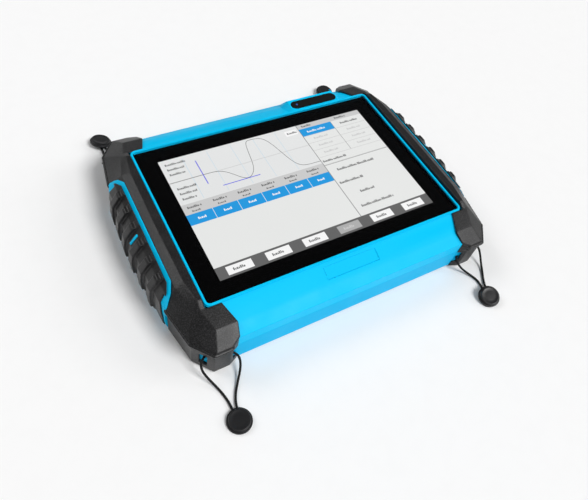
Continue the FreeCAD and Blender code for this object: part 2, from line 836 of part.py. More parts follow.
def bumper_plan(side_y, step):
    """The plan of a lower guard in the positive quarter, its outside drawn in by a step."""
    return [
        (f"{HALF_W} - end_root_in", reach_of(side_y)),
        (f"{END_LIP[0]}", f"{END_LIP[1]} - {step}"),
        (f"{RIDGE[0]} - {step} * 0.4", f"{RIDGE[1]} - {step}"),
        (f"{CHAMFER[0]} - {step}", f"{CHAMFER[1]} - {step} * 0.4"),
        (f"{FLARE[0]} - {step}", FLARE[1]),
        (HOUSE_X, "grip_half"),
        (HOUSE_X, CORNER_Y),
        (CORNER_X, reach_of(side_y)),
    ]


def lug_plan(side_y):
    """The plan of a strap lug: what a bumper's wall leaves free outside the housing's slanted corner."""
    reach = reach_of(side_y)
    return [
        (f"{HALF_W} - end_root_in + 3.4", reach),
        (f"{END_LIP[0]} + 1.6", f"{END_LIP[1]} - bumper_wall"),
        (f"{RIDGE[0]} - bumper_wall * 0.5", f"{RIDGE[1]} - bumper_wall"),
        (f"{CHAMFER[0]} - bumper_wall - 1", f"{CHAMFER[1]} - bumper_wall * 0.1"),
        (HOUSE_X, f"{CORNER_Y} + 6"),
        (HOUSE_X, CORNER_Y),
        (CORNER_X, reach),
    ]


# A loop's route in the positive quarter, measured from the corner of the glass, with heights above the
# table. Its two ends meet half way along the lug's tunnel, and it folds inside its anchor disc.
TUNNEL_OUT = [(7.4, 22.7, 16.3), (10.9, 23.2, 16.6), (15.6, 26.6, 17.0)]
TUNNEL_BACK = [(-10.6, 30.6, 14.6), (-2.4, 26.0, 15.4), (3.9, 22.7, 16.0), (7.1, 22.7, 16.27)]
LOOPS = {
    "front_left": [
        (18.8, 30.8, 15.1), (17.3, 36.0, 9.4), (13.7, 42.0, 3.8), (10.6, 49.0, 1.15), (8.5, 57.6, 1.1),
        (8.0, 66.2, 1.5), (9.1, 73.4, 2.3), (4.3, 73.4, 2.3), (4.6, 66.4, 1.5), (0.9, 57.2, 1.1),
        (-5.0, 49.0, 1.6), (-10.5, 41.8, 5.6), (-13.0, 35.6, 11.0),
    ],
    "front_right": [
        (19.2, 30.4, 14.9), (20.8, 35.6, 8.2), (19.2, 42.2, 2.8), (15.6, 49.6, 1.1), (10.6, 56.6, 1.1),
        (6.4, 63.8, 1.5), (3.9, 71.8, 2.3), (-0.7, 70.9, 2.3), (2.6, 63.2, 1.5), (3.9, 55.6, 1.1),
        (0.9, 47.6, 1.3), (-5.0, 41.2, 4.6), (-9.8, 36.0, 10.2),
    ],
    "rear_left": [
        (19.8, 31.0, 15.0), (20.8, 36.2, 8.8), (18.6, 42.2, 3.2), (16.2, 48.4, 1.1), (14.8, 53.8, 1.1),
        (14.0, 59.4, 1.5), (15.1, 66.3, 2.3), (10.3, 66.3, 2.3), (10.6, 59.4, 1.5), (6.8, 52.2, 1.1),
        (1.0, 46.2, 1.6), (-6.0, 40.8, 5.6), (-11.2, 35.6, 11.0),
    ],
    "rear_right": [
        (19.8, 31.0, 15.0), (20.0, 36.0, 8.8), (16.8, 41.6, 3.2), (12.6, 46.6, 1.1), (8.6, 51.0, 1.1),
        (4.5, 55.1, 1.5), (3.3, 61.4, 2.3), (-1.6, 60.0, 2.3), (0.3, 53.9, 1.5), (-1.2, 47.4, 1.2),
        (-4.6, 42.0, 3.4), (-9.2, 37.8, 7.6), (-12.2, 34.6, 11.6),
    ],
}
FOLD_PLACE = 9


def loop_route(corner):
    """The route of one loop: a list of points in the frame of the instrument."""
    side_x, side_y = CORNERS[corner]
    across, along = value(HALF_W), value(HALF_D)
    points = TUNNEL_OUT + LOOPS[corner] + TUNNEL_BACK
    return [V(side_x * (across + x), side_y * (along + y), z) for x, y, z in points]


def tube(name, points, width, report=False):
    """A round tube along straight runs joined by tangent arcs, each arc as large as its runs allow."""
    radii = []
    edges = []
    start = points[0]
    for before, here, after in zip(points, points[1:], points[2:]):
        back = (before - here).normalize()
        ahead = (after - here).normalize()
        turn = math.pi - back.getAngle(ahead)
        reach = 0.45 * min((before - here).Length, (after - here).Length)
        radii.append(reach / math.tan(turn / 2))
        entry = here + back * reach
        leave = here + ahead * reach
        middle_way = (back + ahead).normalize()
        centre = here + middle_way * (reach / math.sin(turn / 2))
        middle = centre - middle_way * radii[-1]
        edges.append(Part.LineSegment(start, entry).toShape())
        edges.append(Part.Arc(entry, middle, leave).toShape())
        start = leave
    edges.append(Part.LineSegment(start, points[-1]).toShape())
    spine = Part.Wire(edges)
    heading = points[1] - points[0]
    section = Part.Wire(Part.makeCircle(width / 2, points[0], heading))
    solid = spine.makePipeShell([section], True, False)
    expected = math.pi * width**2 / 4 * spine.Length
    if report:
        print(f"{name}: {spine.Length:.1f} long, radii " + " ".join(f"{radius:.1f}" for radius in radii))
    if abs(solid.Volume - expected) > 0.01 * expected:
        raise ValueError(f"{name}: the tube holds {solid.Volume:.1f}, not {expected:.1f}")
    feature = doc.addObject("Part::Feature", name)
    feature.Shape = solid
    return feature


def slot_box(name, centre, outward, width, height, deep):
    """A box through a wall, centred on a mouth and turned to look along an outward direction."""
    block = doc.addObject("Part::Box", name)
    block.Length = deep
    block.setExpression("Width", bound(width))
    block.setExpression("Height", bound(height))
    turn = FreeCAD.Rotation(V(0, 0, 1), math.degrees(math.atan2(outward.y, outward.x)))
    corner = turn.multVec(V(-deep / 2, -value(width) / 2, 0))
    block.Placement = FreeCAD.Placement(V(centre.x, centre.y, centre.z) + corner, turn)
    return block


def strap_corner(corner):
    """A bumper with its two slots, and the blue strap lug inside it with the cord's tunnel."""
    side_x, side_y = CORNERS[corner]
    bumper = new_body(f"bumper_{corner}")
    sections = []
    steps = (("0", "(lip_step + foot_chamfer)", "foot"), ("foot_chamfer", "lip_step", "ankle"))
    for level, step, name in steps:
        sketch = sketch_on(bumper, f"{corner}_{name}", offset=level)
        outline(sketch, mirrored(bumper_plan(side_y, step), side_x, side_y))
        sections.append(sketch)
    loft = bumper.newObject("PartDesign::AdditiveLoft", "Foot")
    loft.Profile = sections[0]
    loft.Sections = sections[1:]
    loft.Ruled = True
    for level, top, step, name in (
        ("foot_chamfer", f"{LIP} - lip_band", "lip_step", "Lower"),
        (f"{LIP} - lip_band", LIP, "0", "Band"),
    ):
        sketch = sketch_on(bumper, f"{corner}_{name}", offset=level)
        outline(sketch, mirrored(bumper_plan(side_y, step), side_x, side_y))
        pad(bumper, sketch, f"({top}) - ({level})", name)

    blank = prism(f"lug_{corner}", mirrored(lug_plan(side_y), side_x, side_y), "lug_low", "lug_high")
    route = loop_route(corner)
    bore = tube(f"tunnel_{corner}", route[-4:-1] + route[1:4], value("tunnel_width"))
    out_mouth, back_mouth = route[2], route[-4]
    low = value("port_level") + 1.5 - value("lug_slot_height") / 2
    out_way = V(side_x * value("ridge_fore - chamfer_fore"), side_y * value("chamfer_out - ridge_out"), 0)
    back_way = V(-side_x, side_y * 1.5, 0)
    slots = [
        slot_box(f"out_slot_{corner}", V(out_mouth.x, out_mouth.y, low), out_way, "lug_slot_width",
                 "lug_slot_height", 9.0),
        slot_box(f"back_slot_{corner}", V(back_mouth.x, back_mouth.y, low), back_way, "lug_slot_width - 1",
                 "lug_slot_height", 9.0),
    ]
    lug = cut(f"strap_lug_{corner}", blank, [bore])
    return cut(f"corner_bumper_{corner}", bumper, [blank] + slots), lug


def anchor_disc(corner):
    """The round two-step disc that a loop carries; the loop folds inside it."""
    body = new_body(f"disc_{corner}")
    sketch = sketch_on(body, f"{corner}_base")
    ring(sketch, "0", "0", "disc_width")
    pad(body, sketch, "disc_base", "Base")
    sketch = sketch_on(body, f"{corner}_cap", offset="disc_base")
    ring(sketch, "0", "0", "disc_cap_width")
    pad(body, sketch, "disc_cap_rise", "Cap")
    rims = [
        f"Edge{i}"
        for i, edge in enumerate(body.Shape.Edges, start=1)
        if isinstance(edge.Curve, Part.Circle) and abs(edge.Curve.Center.z - value("disc_base")) > 0.01
    ]
    solid = body.Tip
    soften = body.newObject("PartDesign::Fillet", "Soften")
    soften.Base = (solid, rims)
    soften.Radius = 0.6
    doc.recompute()
    route = loop_route(corner)
    fold = (route[FOLD_PLACE] + route[FOLD_PLACE + 1]) * 0.5
    entry = (route[FOLD_PLACE - 1] + route[FOLD_PLACE + 2]) * 0.5
    inward = V(fold.x - entry.x, fold.y - entry.y, 0).normalize()
    centre = V(fold.x, fold.y, 0) + inward * 4.0
    body.Placement = FreeCAD.Placement(V(centre.x, centre.y, 0.05), FreeCAD.Rotation())
    return body


# --------------------------------------------------------------------------------------------- grips
def grip_profile(side, swell, grow):
    """A section of the side grip in the XZ plane, swollen outwards in the middle of its length."""
    shape = [
        (f"{HOUSE_X} - 1", "grip_base"),
        (f"{HALF_W} + flare_out - 1.6 + {swell} * 0.8 + {grow}", "grip_base"),
        (f"{HALF_W} + flare_out + 0.4 + {swell} + {grow}", "10"),
        (f"{HALF_W} + flare_out + 0.8 + {swell} * 1.2 + {grow}", "24"),
        (f"{HALF_W} + flare_out + {swell} * 0.9 + {grow}", LIP),
        (f"{HALF_W} + 23.2 + {swell} * 0.6 + {grow} * 0.8", f"glass_top - 6.4 + {grow} * 0.6"),
        (f"{HALF_W} + grip_head_out + {swell} * 0.2 + {grow} * 0.4", f"glass_top + 0.2 + {grow} * 0.8"),
        (f"{HOUSE_X} - 1", f"glass_top + 0.2 + {grow} * 0.8"),
    ]
    return [(f"{side} * ({x})", z) for x, z in shape]


def grip_form(name, side, grow):
    """A loft of three sections along the side, swollen in the middle."""
    body = new_body(name)
    sections = []
    for i, (along, swell) in enumerate((("-grip_half", "0"), ("0", "3.2"), ("grip_half", "0"))):
        sketch = sketch_on(body, f"{name}_section_{i}", "XZ_Plane", along)
        outline(sketch, grip_profile(side, swell, grow))
        sections.append(sketch)
    loft = body.newObject("PartDesign::AdditiveLoft", "Form")
    loft.Profile = sections[0]
    loft.Sections = sections[1:]
    loft.Ruled = True
    doc.recompute()
    return body


def side_grip(side, window):
    """The blue carrier, the ribbed rubber pad moulded on it and the small blue accent between ribs."""
    name = "right" if side > 0 else "left"
    far = f"{HALF_W} + bulge_out + 20"
    ends = sorted((f"{side} * {HOUSE_X}", f"{side} * ({far})"), key=value)
    below = plate(f"grip_space_{name}", *ends, "-grip_half", "grip_half", "grip_base", LIP)
    space = joined(f"grip_place_{name}", [window, below])
    form = grip_form(f"carrier_form_{name}", side, "0")
    carrier = shared(f"grip_carrier_{name}", [form, space])

    skin = grip_form(f"pad_form_{name}", side, "pad_thickness")
    zone = prism(f"pad_zone_{name}", grip_window(side, "grip_border"), "grip_base + grip_border", f"{HIGH}")
    pad_blank = shared(f"pad_blank_{name}", [skin, zone])
    pad_shell = cut(f"pad_shell_{name}", pad_blank, [form])

    swollen = grip_form(f"rib_form_{name}", side, "(pad_thickness + rib_height)")
    inner, outer = sorted((f"{side} * ({HALF_W} + grip_neck_out)", f"{side} * ({far})"), key=value)
    bars = [
        plate(
            f"rib_bar_{name}_{i}",
            inner,
            outer,
            f"{i - 2.5:g} * rib_pitch - rib_width / 2",
            f"{i - 2.5:g} * rib_pitch + rib_width / 2",
            "grip_base + 3 * grip_border",
            "glass_top - grip_border",
        )
        for i in range(6)
    ]
    ribs = cut(f"ribs_{name}", shared(f"rib_blank_{name}", [swollen, joined(f"bars_{name}", bars)]), [form])
    accent_skin = grip_form(f"accent_form_{name}", side, "(pad_thickness + 0.4)")
    strip = plate(
        f"accent_strip_{name}",
        inner,
        outer,
        "-accent_width / 2",
        "accent_width / 2",
        "glass_top - 13",
        "glass_top - 2.5 * grip_border + 3",
    )
    bed = cut(f"accent_bed_{name}", shared(f"accent_blank_{name}", [accent_skin, strip]), [form])
    pad_whole = joined(f"pad_whole_{name}", [pad_shell, ribs])
    return carrier, cut(f"grip_pad_{name}", pad_whole, [bed]), bed


# ------------------------------------------------------------------------------------- display, inside
def rounded_plate(name, half_x, half_y, low, high, corner):
    body = plate(name, f"-({half_x})", half_x, f"-({half_y})", half_y, low, high)
    round_upright(body, corner, low, high)
    return body


def glass_tape():
    body = plate("tape", f"-{HALF_W}", HALF_W, f"-{HALF_D}", HALF_D, SEAT, f"{SEAT} + tape_thickness")
    round_upright(body, "glass_corner", SEAT, f"{SEAT} + tape_thickness")
    sketch = sketch_on(body, "tape_inside", offset=SEAT)
    half_x, half_y = "panel_width / 2 + panel_gap + 1", "panel_depth / 2 + panel_gap + 1"
    outline(sketch, box_points(f"-({half_x})", half_x, f"-({half_y})", half_y))
    pocket(body, sketch, "tape_thickness", "Inside", reverse=True)
    return body


def display_bracket():
    """A pressed tray that holds the display panel up against the glass."""
    top = "glass_top - glass_thickness - panel_thickness"
    half_x, half_y = "panel_width / 2 + 6", "panel_depth / 2 + 6"
    low = f"{top} - bracket_thickness"
    body = plate("bracket", f"-({half_x})", half_x, f"-({half_y})", half_y, low, CEILING)
    sketch = sketch_on(body, "bracket_bed", offset=top)
    inner_x, inner_y = f"{half_x} - bracket_flange", f"{half_y} - bracket_flange"
    outline(sketch, box_points(f"-({inner_x})", inner_x, f"-({inner_y})", inner_y))
    pocket(body, sketch, "10", "Bed", reverse=True)
    sketch = sketch_on(body, "bracket_windows", offset=low)
    for side in (-1, 1):
        ends = sorted((f"{side} * 12", f"{side} * ({half_x} - 20)"), key=value)
        outline(sketch, box_points(*ends, f"-({half_y} - 20)", f"{half_y} - 20"))
    pocket(body, sketch, "bracket_thickness", "Windows", reverse=True)
    return body


def standoff_places():
    across = "(board_width / 2 - 6)"
    along = "(board_depth / 2 - 6)"
    grid = ((-1, -1), (1, -1), (-1, 1), (0, 1), (1, 1))
    return [(f"{x} * {across}", f"board_shift + {y} * {along}") for x, y in grid]


def main_board():
    body = plate(
        "board",
        "-board_width / 2",
        "board_width / 2",
        "board_shift - board_depth / 2",
        "board_shift + board_depth / 2",
        "board_height",
        "board_height + board_thickness",
    )
    for i, (across, along) in enumerate(standoff_places()):
        sketch = sketch_on(body, f"board_hole_{i}", offset="board_height")
        ring(sketch, across, along, "screw_width + 0.4")
        pocket(body, sketch, "board_thickness", "BoardHole", reverse=True)
    return body


def standoffs():
    pieces = []
    for i, (across, along) in enumerate(standoff_places()):
        post = rod(f"post_{i}", "standoff_width / 2", f"board_height - ({FLOOR})", (across, along, FLOOR))
        bore = rod(f"post_bore_{i}", "screw_width / 2 + 0.1", "12", (across, along, "board_height - 7"))
        pieces.append(cut(f"standoff_{i}", post, [bore]))
    return group("board_standoffs", pieces)


def group(name, pieces):
    """Like pieces kept as separate solids in one node."""
    compound = doc.addObject("Part::Compound", name)
    compound.Links = pieces
    doc.recompute()
    return compound


def screws(name, places, seat, length, upward=True):
    """A set of like screws; their heads stand on the seat level, with the shanks going away from it."""
    pieces = []
    for i, (across, along) in enumerate(places):
        shank_base = seat if upward else f"{seat} - ({length})"
        head_base = f"{seat} - screw_head_height" if upward else seat
        shank = rod(f"{name}_shank_{i}", "screw_width / 2 - 0.2", length, (across, along, shank_base))
        head = rod(f"{name}_head_{i}", "screw_head / 2", "screw_head_height", (across, along, head_base))
        drive = rod(
            f"{name}_drive_{i}",
            "screw_head / 4",
            "screw_head_height / 2",
            (across, along, head_base if upward else f"{head_base} + screw_head_height / 2"),
        )
        pieces.append(cut(f"{name}_{i}", joined(f"{name}_blank_{i}", [shank, head]), [drive]))
    return group(name, pieces)


def shield_can(name, middle_x, width, depth, height):
    """A thin metal can soldered over a part of the board, open towards it."""
    low = "board_height + board_thickness"
    body = plate(
        name,
        f"{middle_x} - {width} / 2",
        f"{middle_x} + {width} / 2",
        f"board_shift - {depth} / 2",
        f"board_shift + {depth} / 2",
        low,
        f"{low} + {height}",
    )
    sketch = sketch_on(body, f"{name}_inside", offset=low)
    outline(
        sketch,
        box_points(
            f"{middle_x} - {width} / 2 + 0.6",
            f"{middle_x} + {width} / 2 - 0.6",
            f"board_shift - {depth} / 2 + 0.6",
            f"board_shift + {depth} / 2 - 0.6",
        ),
    )
    pocket(body, sketch, f"{height} - 0.6", "Inside", reverse=True)
    return body


def battery_door():
    half_x = "battery_width / 2 + door_margin"
    low = "-battery_middle - battery_depth / 2 - door_margin"
    high = "-battery_middle + battery_depth / 2 + door_margin"
    body = plate("door", f"-({half_x})", half_x, low, high, "under", "under + door_thickness")
    round_upright(body, "3", "under", "under + door_thickness")
    for i, (across, along) in enumerate(door_screw_places()):
        sketch = sketch_on(body, f"door_hole_{i}", offset="under")
        ring(sketch, across, along, "screw_head + 0.4")
        pocket(body, sketch, "door_thickness", "DoorHole", reverse=True)
    return body


# --------------------------------------------------------------------------------------- rear controls
def port_plate():
    """The black plate on the rear wall that carries the two measuring sockets."""
    body = new_body("port_plate_body")
    half = "panel_plate_width / 2"
    tall = "panel_plate_height / 2"
    sketch = sketch_on(body, "port_plate_face", "XZ_Plane", f"-({REAR_Y} + panel_plate_thickness)")
    outline(sketch, box_points(f"-{half}", half, f"port_level - {tall}", f"port_level + {tall}"))
    pad(body, sketch, "panel_plate_thickness")
    sketch = sketch_on(body, "port_plate_spigot", "XZ_Plane", f"-({REAR_Y})")
    low, high = f"port_level - {tall} + 1.2", f"port_level + {tall} - 1.2"
    outline(sketch, box_points(f"-{half} + 1.2", f"{half} - 1.2", low, high))
    pad(body, sketch, "wall")
    bores = [
        rod(
            f"port_hole_{i}",
            "port_width / 2",
            "20",
            (f"{side} * port_pitch / 2", f"{REAR_Y} + 8", "port_level"),
            (V(1, 0, 0), 90),
        )
        for i, side in enumerate((-1, 1))
    ]
    return cut("port_plate", body, bores)


def test_port(side):
    """A threaded coaxial socket with its flange, bore and centre pin."""
    name = "right" if side > 0 else "left"
    across = f"{side} * port_pitch / 2"
    face = f"{REAR_Y} + panel_plate_thickness"
    turn = (V(1, 0, 0), 90)
    mouth = (across, f"{face} + port_reach", "port_level")
    barrel = rod(f"barrel_{name}", "port_width / 2", "port_reach + wall + 8", mouth, turn)
    flange = rod(f"flange_{name}", "port_width / 2 + 2", "1.6", (across, f"{face} + 1.6", "port_level"), turn)
    bore = rod(f"bore_{name}", "port_bore / 2", "port_deep", mouth, turn)
    pin = rod(f"pin_{name}", "0.9", "port_deep + 1", (across, f"{face} + port_reach - 1", "port_level"), turn)
    shell = cut(f"shell_{name}", joined(f"socket_{name}", [barrel, flange]), [bore])
    return joined(f"test_port_{name}", [shell, pin])


def hatch_parts():
    """The hinged cover of the charging sockets, its hinge bracket and pin."""
    axis_x = "hatch_middle - hatch_width / 2"
    axis_y = f"{REAR_Y} + knuckle / 2 + 0.3"
    low, high = "port_level - hatch_height / 2", "port_level + hatch_height / 2"
    share = "hatch_height / 3"
    pin = rod("hatch_pin", "hinge_pin / 2", "hatch_height", (axis_x, axis_y, low))
    inner = f"{REAR_Y} + hatch_gap"
    leaf = plate(
        "hatch_leaf", f"{axis_x} + knuckle / 2 + 0.4", "hatch_middle + hatch_width / 2", inner,
        f"{inner} + hatch_thickness", low, high,
    )
    middle_low, middle_high = f"{low} + {share} + hatch_gap", f"{high} - {share} - hatch_gap"
    arm = plate(
        "hatch_arm", axis_x, f"{axis_x} + knuckle / 2 + 1", f"{inner} + 0.5", f"{inner} + hatch_thickness",
        middle_low, middle_high,
    )
    edge = "hatch_middle + hatch_width / 2"
    low_tab, high_tab = "port_level - 3", "port_level + 3"
    tab = plate("hatch_tab", f"{edge} - 0.5", f"{edge} + 2.5", inner, f"{inner} + 1.2", low_tab, high_tab)
    middle = f"({middle_high}) - ({middle_low})"
    barrel = rod("hatch_barrel", "knuckle / 2", middle, (axis_x, axis_y, middle_low))
    play = rod("hatch_play", "hinge_pin / 2 + hinge_play", "hatch_height", (axis_x, axis_y, low))
    hatch = cut("port_hatch", joined("hatch_blank", [leaf, arm, tab, barrel]), [play])
    ears = []
    for i, base in enumerate((low, f"{high} - {share}")):
        ear = rod(f"ear_{i}", "knuckle / 2", share, (axis_x, axis_y, base))
        top, out = f"{base} + {share}", f"{axis_x} - knuckle / 2"
        foot = plate(f"ear_foot_{i}", f"{out} - 3", axis_x, REAR_Y, f"{REAR_Y} + 1.2", base, top)
        web = plate(f"ear_web_{i}", out, axis_x, REAR_Y, axis_y, base, top)
        ears += [ear, foot, web]
    strap = plate("ear_strap", f"{axis_x} - knuckle / 2 - 3", f"{axis_x} - knuckle / 2 - 0.6", REAR_Y,
                  f"{REAR_Y} + 1.2", low, high)
    pin_bore = rod("pin_bore", "hinge_pin / 2", "hatch_height", (axis_x, axis_y, low))
    bracket = cut("hatch_bracket", joined("ears", ears + [strap]), [pin_bore])
    return hatch, bracket, pin


def power_key():
    """The round power key: a cap that shows, and a flange behind the wall that keeps it in."""
    turn = (V(1, 0, 0), 90)
    cap = rod("key_cap", "key_width / 2", "key_proud + wall + 0.6",
              ("-key_middle", f"{REAR_Y} + key_proud", "port_level"), turn)
    flange = rod("key_flange", "key_width / 2 + 1.6", "1.2",
                 ("-key_middle", f"{REAR_Y} - wall - 0.1", "port_level"), turn)
    return joined("power_key", [cap, flange])


def socket_shell(name, middle, width, tall, low):
    """A socket on the small board: a box open towards the hatch."""
    left, right = f"hatch_middle + {middle - width / 2:g}", f"hatch_middle + {middle + width / 2:g}"
    back, front = f"{REAR_Y} - wall - 9", f"{REAR_Y} - 1"
    block = plate(f"{name}_block", left, right, back, front, low, f"{low} + {tall:g}")
    room = plate(
        f"{name}_room", f"{left} + socket_wall", f"{right} - socket_wall", f"{back} + 1", f"{front} + 1",
        f"{low} + socket_wall", f"{low} + {tall:g} - socket_wall",
    )
    return cut(f"{name}_shell", block, [room])


def build_all():
    keep("front_housing", front_housing())
    keep("rear_housing", rear_housing())
    gasket = new_body("gasket")
    sketch = sketch_on(gasket, "gasket_plan", offset="split - gasket_height")
    outline(sketch, house_outline("gasket_in"))
    outline(sketch, house_outline("gasket_in + gasket_width"))
    pad(gasket, sketch, "gasket_height")
    keep("housing_gasket", gasket)

    envelope = guard_envelope()
    block = front_block("front_form")
    for side, name in ((-1, "left"), (1, "right")):
        guard, window = upper_guard(side, envelope, block)
        keep(f"upper_guard_{name}", guard)
        carrier, grip_pad, accent = side_grip(side, window)
        keep(f"grip_carrier_{name}", carrier)
        keep(f"grip_pad_{name}", grip_pad)
        keep(f"grip_accent_{name}", accent)
    for corner in CORNERS:
        bumper, lug = strap_corner(corner)
        keep(f"corner_bumper_{corner}", bumper)
        keep(f"strap_lug_{corner}", lug)
        keep(f"anchor_cord_{corner}", tube(f"cord_{corner}", loop_route(corner), value("cord_width"), True))
        keep(f"anchor_disc_{corner}", anchor_disc(corner))

    keep("cover_glass", rounded_plate("glass", HALF_W, HALF_D, f"{SEAT} + tape_thickness", "glass_top",
                                      "glass_corner"))
    keep("glass_tape", glass_tape())
    panel_top = "glass_top - glass_thickness"
    keep("display_panel", plate("panel", "-panel_width / 2", "panel_width / 2", "-panel_depth / 2",
                                "panel_depth / 2", f"{panel_top} - panel_thickness", panel_top))
    keep("display_bracket", display_bracket())
    keep("main_board", main_board())
    keep("board_standoffs", standoffs())
    screw_level = "board_height + board_thickness"
    keep("board_screws", screws("board_screw", standoff_places(), screw_level, "6", False))
    large = shield_can("measuring_can", "-44", "shield_width", "shield_depth", "shield_height")
    small = shield_can("processor_can", "52", "cover_width", "cover_width", "shield_height - 2")
    keep("measuring_shield", large)
    keep("processor_shield", small)
    bed = "under + door_thickness + 0.2"
    battery = plate(
        "battery", "-battery_width / 2", "battery_width / 2", "-battery_middle - battery_depth / 2",
        "-battery_middle + battery_depth / 2", bed, f"{bed} + battery_height",
    )
    round_upright(battery, "3", "0", "40")
    keep("battery_pack", battery)
    keep("battery_door", battery_door())
    keep("battery_door_screws", screws("door_screw", door_screw_places(), "under + screw_head_height", "4"))
    keep("speaker", rod("speaker_can", "speaker_width / 2", "speaker_height", ("-88", "46", FLOOR)))
    keep("housing_screws", screws("housing_screw", boss_places(), SCREW_SEAT, "screw_length"))

    light = rod("light", "light_width / 2", "plate_thickness + 0.3")
    keep("status_light", lay_on_pod(light, "plate_middle - plate_length / 2 + light_inset"))
    label = pill("label", "plate_length - 0.2", "plate_width - 0.2", "plate_thickness")
    lay_on_pod(label, "plate_middle")
    keep("name_plate", cut("name_plate_body", label, [light]))

    keep("port_plate", port_plate())
    keep("test_port_left", test_port(-1))
    keep("test_port_right", test_port(1))
    hatch, bracket, pin = hatch_parts()
    keep("port_hatch", hatch)
    keep("hatch_bracket", bracket)
    keep("hatch_pin", pin)
    keep("power_key", power_key())
    key_back = f"{REAR_Y} - wall - 1.3"
    face = f"{key_back} - key_travel - 0.3"
    low, high = "port_level - 6", "port_level + 6"
    keep("key_switch", plate("switch", "-key_middle - 6", "-key_middle + 6", f"{face} - 6", face, low, high))
    keep("key_bezel", cut("bezel", rod("bezel_disc", "key_width / 2 + 2.4", "1.0",
                                       ("-key_middle", f"{REAR_Y} + 1", "port_level"), (V(1, 0, 0), 90)),
                          [rod("bezel_hole", "key_width / 2 + key_gap", "3",
                               ("-key_middle", f"{REAR_Y} + 2", "port_level"), (V(1, 0, 0), 90))]))
    board_top = "port_level - 2.4"
    keep("port_board", plate("small_board", "hatch_middle - 14", "hatch_middle + 13", f"{REAR_Y} - wall - 24",
                             f"{REAR_Y} - wall - 1", f"{board_top} - board_thickness", board_top))
    for node, middle, width, tall in (("data_socket", -6, 10, 5.4), ("charge_socket", 7, 9, 7)):
        keep(node, socket_shell(node, middle, width, tall, board_top))
    posts = [
        rod(f"port_post_{i}", "standoff_width / 2 - 0.5", f"{board_top} - board_thickness - ({FLOOR})",
            (f"hatch_middle + {across:g}", f"{REAR_Y} - wall - 20", FLOOR))
        for i, across in enumerate((-10, 9))
    ]
    keep("port_board_posts", group("port_posts", posts))


def write_all():
    doc.recompute()
    failed = [o.Label for o in doc.Objects if "Invalid" in o.State or "Error" in o.State]
    if failed:
        raise ValueError(f"these objects failed: {failed}")
    for node, thing in NODES.items():
        if thing.Shape.isNull() or not thing.Shape.isValid() or not thing.Shape.Solids:
            raise ValueError(f"{node} has no valid solid")
    os.makedirs("parts", exist_ok=True)
    for node, thing in NODES.items():
        thing.Shape.exportStep(f"parts/{node}.step")
    print(f"{len(NODES)} nodes written")


build_all()
write_all()
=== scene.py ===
import math
import bmesh
import bpy
import numpy as np
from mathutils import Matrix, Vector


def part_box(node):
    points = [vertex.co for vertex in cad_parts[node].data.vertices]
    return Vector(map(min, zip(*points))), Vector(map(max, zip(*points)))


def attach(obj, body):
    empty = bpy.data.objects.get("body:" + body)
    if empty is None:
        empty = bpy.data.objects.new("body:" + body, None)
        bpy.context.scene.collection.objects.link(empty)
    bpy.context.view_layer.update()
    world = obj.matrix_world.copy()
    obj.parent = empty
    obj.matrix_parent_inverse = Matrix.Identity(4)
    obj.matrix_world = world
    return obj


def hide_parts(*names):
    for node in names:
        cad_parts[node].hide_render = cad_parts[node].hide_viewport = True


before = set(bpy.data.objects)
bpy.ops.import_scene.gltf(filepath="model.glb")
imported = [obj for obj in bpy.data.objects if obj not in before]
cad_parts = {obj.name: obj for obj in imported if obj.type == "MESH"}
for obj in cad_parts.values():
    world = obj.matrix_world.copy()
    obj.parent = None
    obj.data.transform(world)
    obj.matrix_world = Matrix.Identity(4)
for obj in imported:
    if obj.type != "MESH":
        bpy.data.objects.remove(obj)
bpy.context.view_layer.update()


# ------------------------------------------------------------------------------------------------------
# Camera. It looks down over the front left corner, a little rolled, with a wide lens held close.
lens = bpy.data.cameras.new("camera")
lens.lens = 32.65
lens.sensor_width = 36.0
lens.clip_start = 0.01
camera = bpy.data.objects.new("camera", lens)
camera.location = (-0.2101, -0.2636, 0.4067)
camera.rotation_euler = [math.radians(angle) for angle in (35.19, -8.45, -28.71)]
bpy.context.collection.objects.link(camera)
bpy.context.scene.camera = camera
bpy.context.scene.view_settings.view_transform = "Standard"


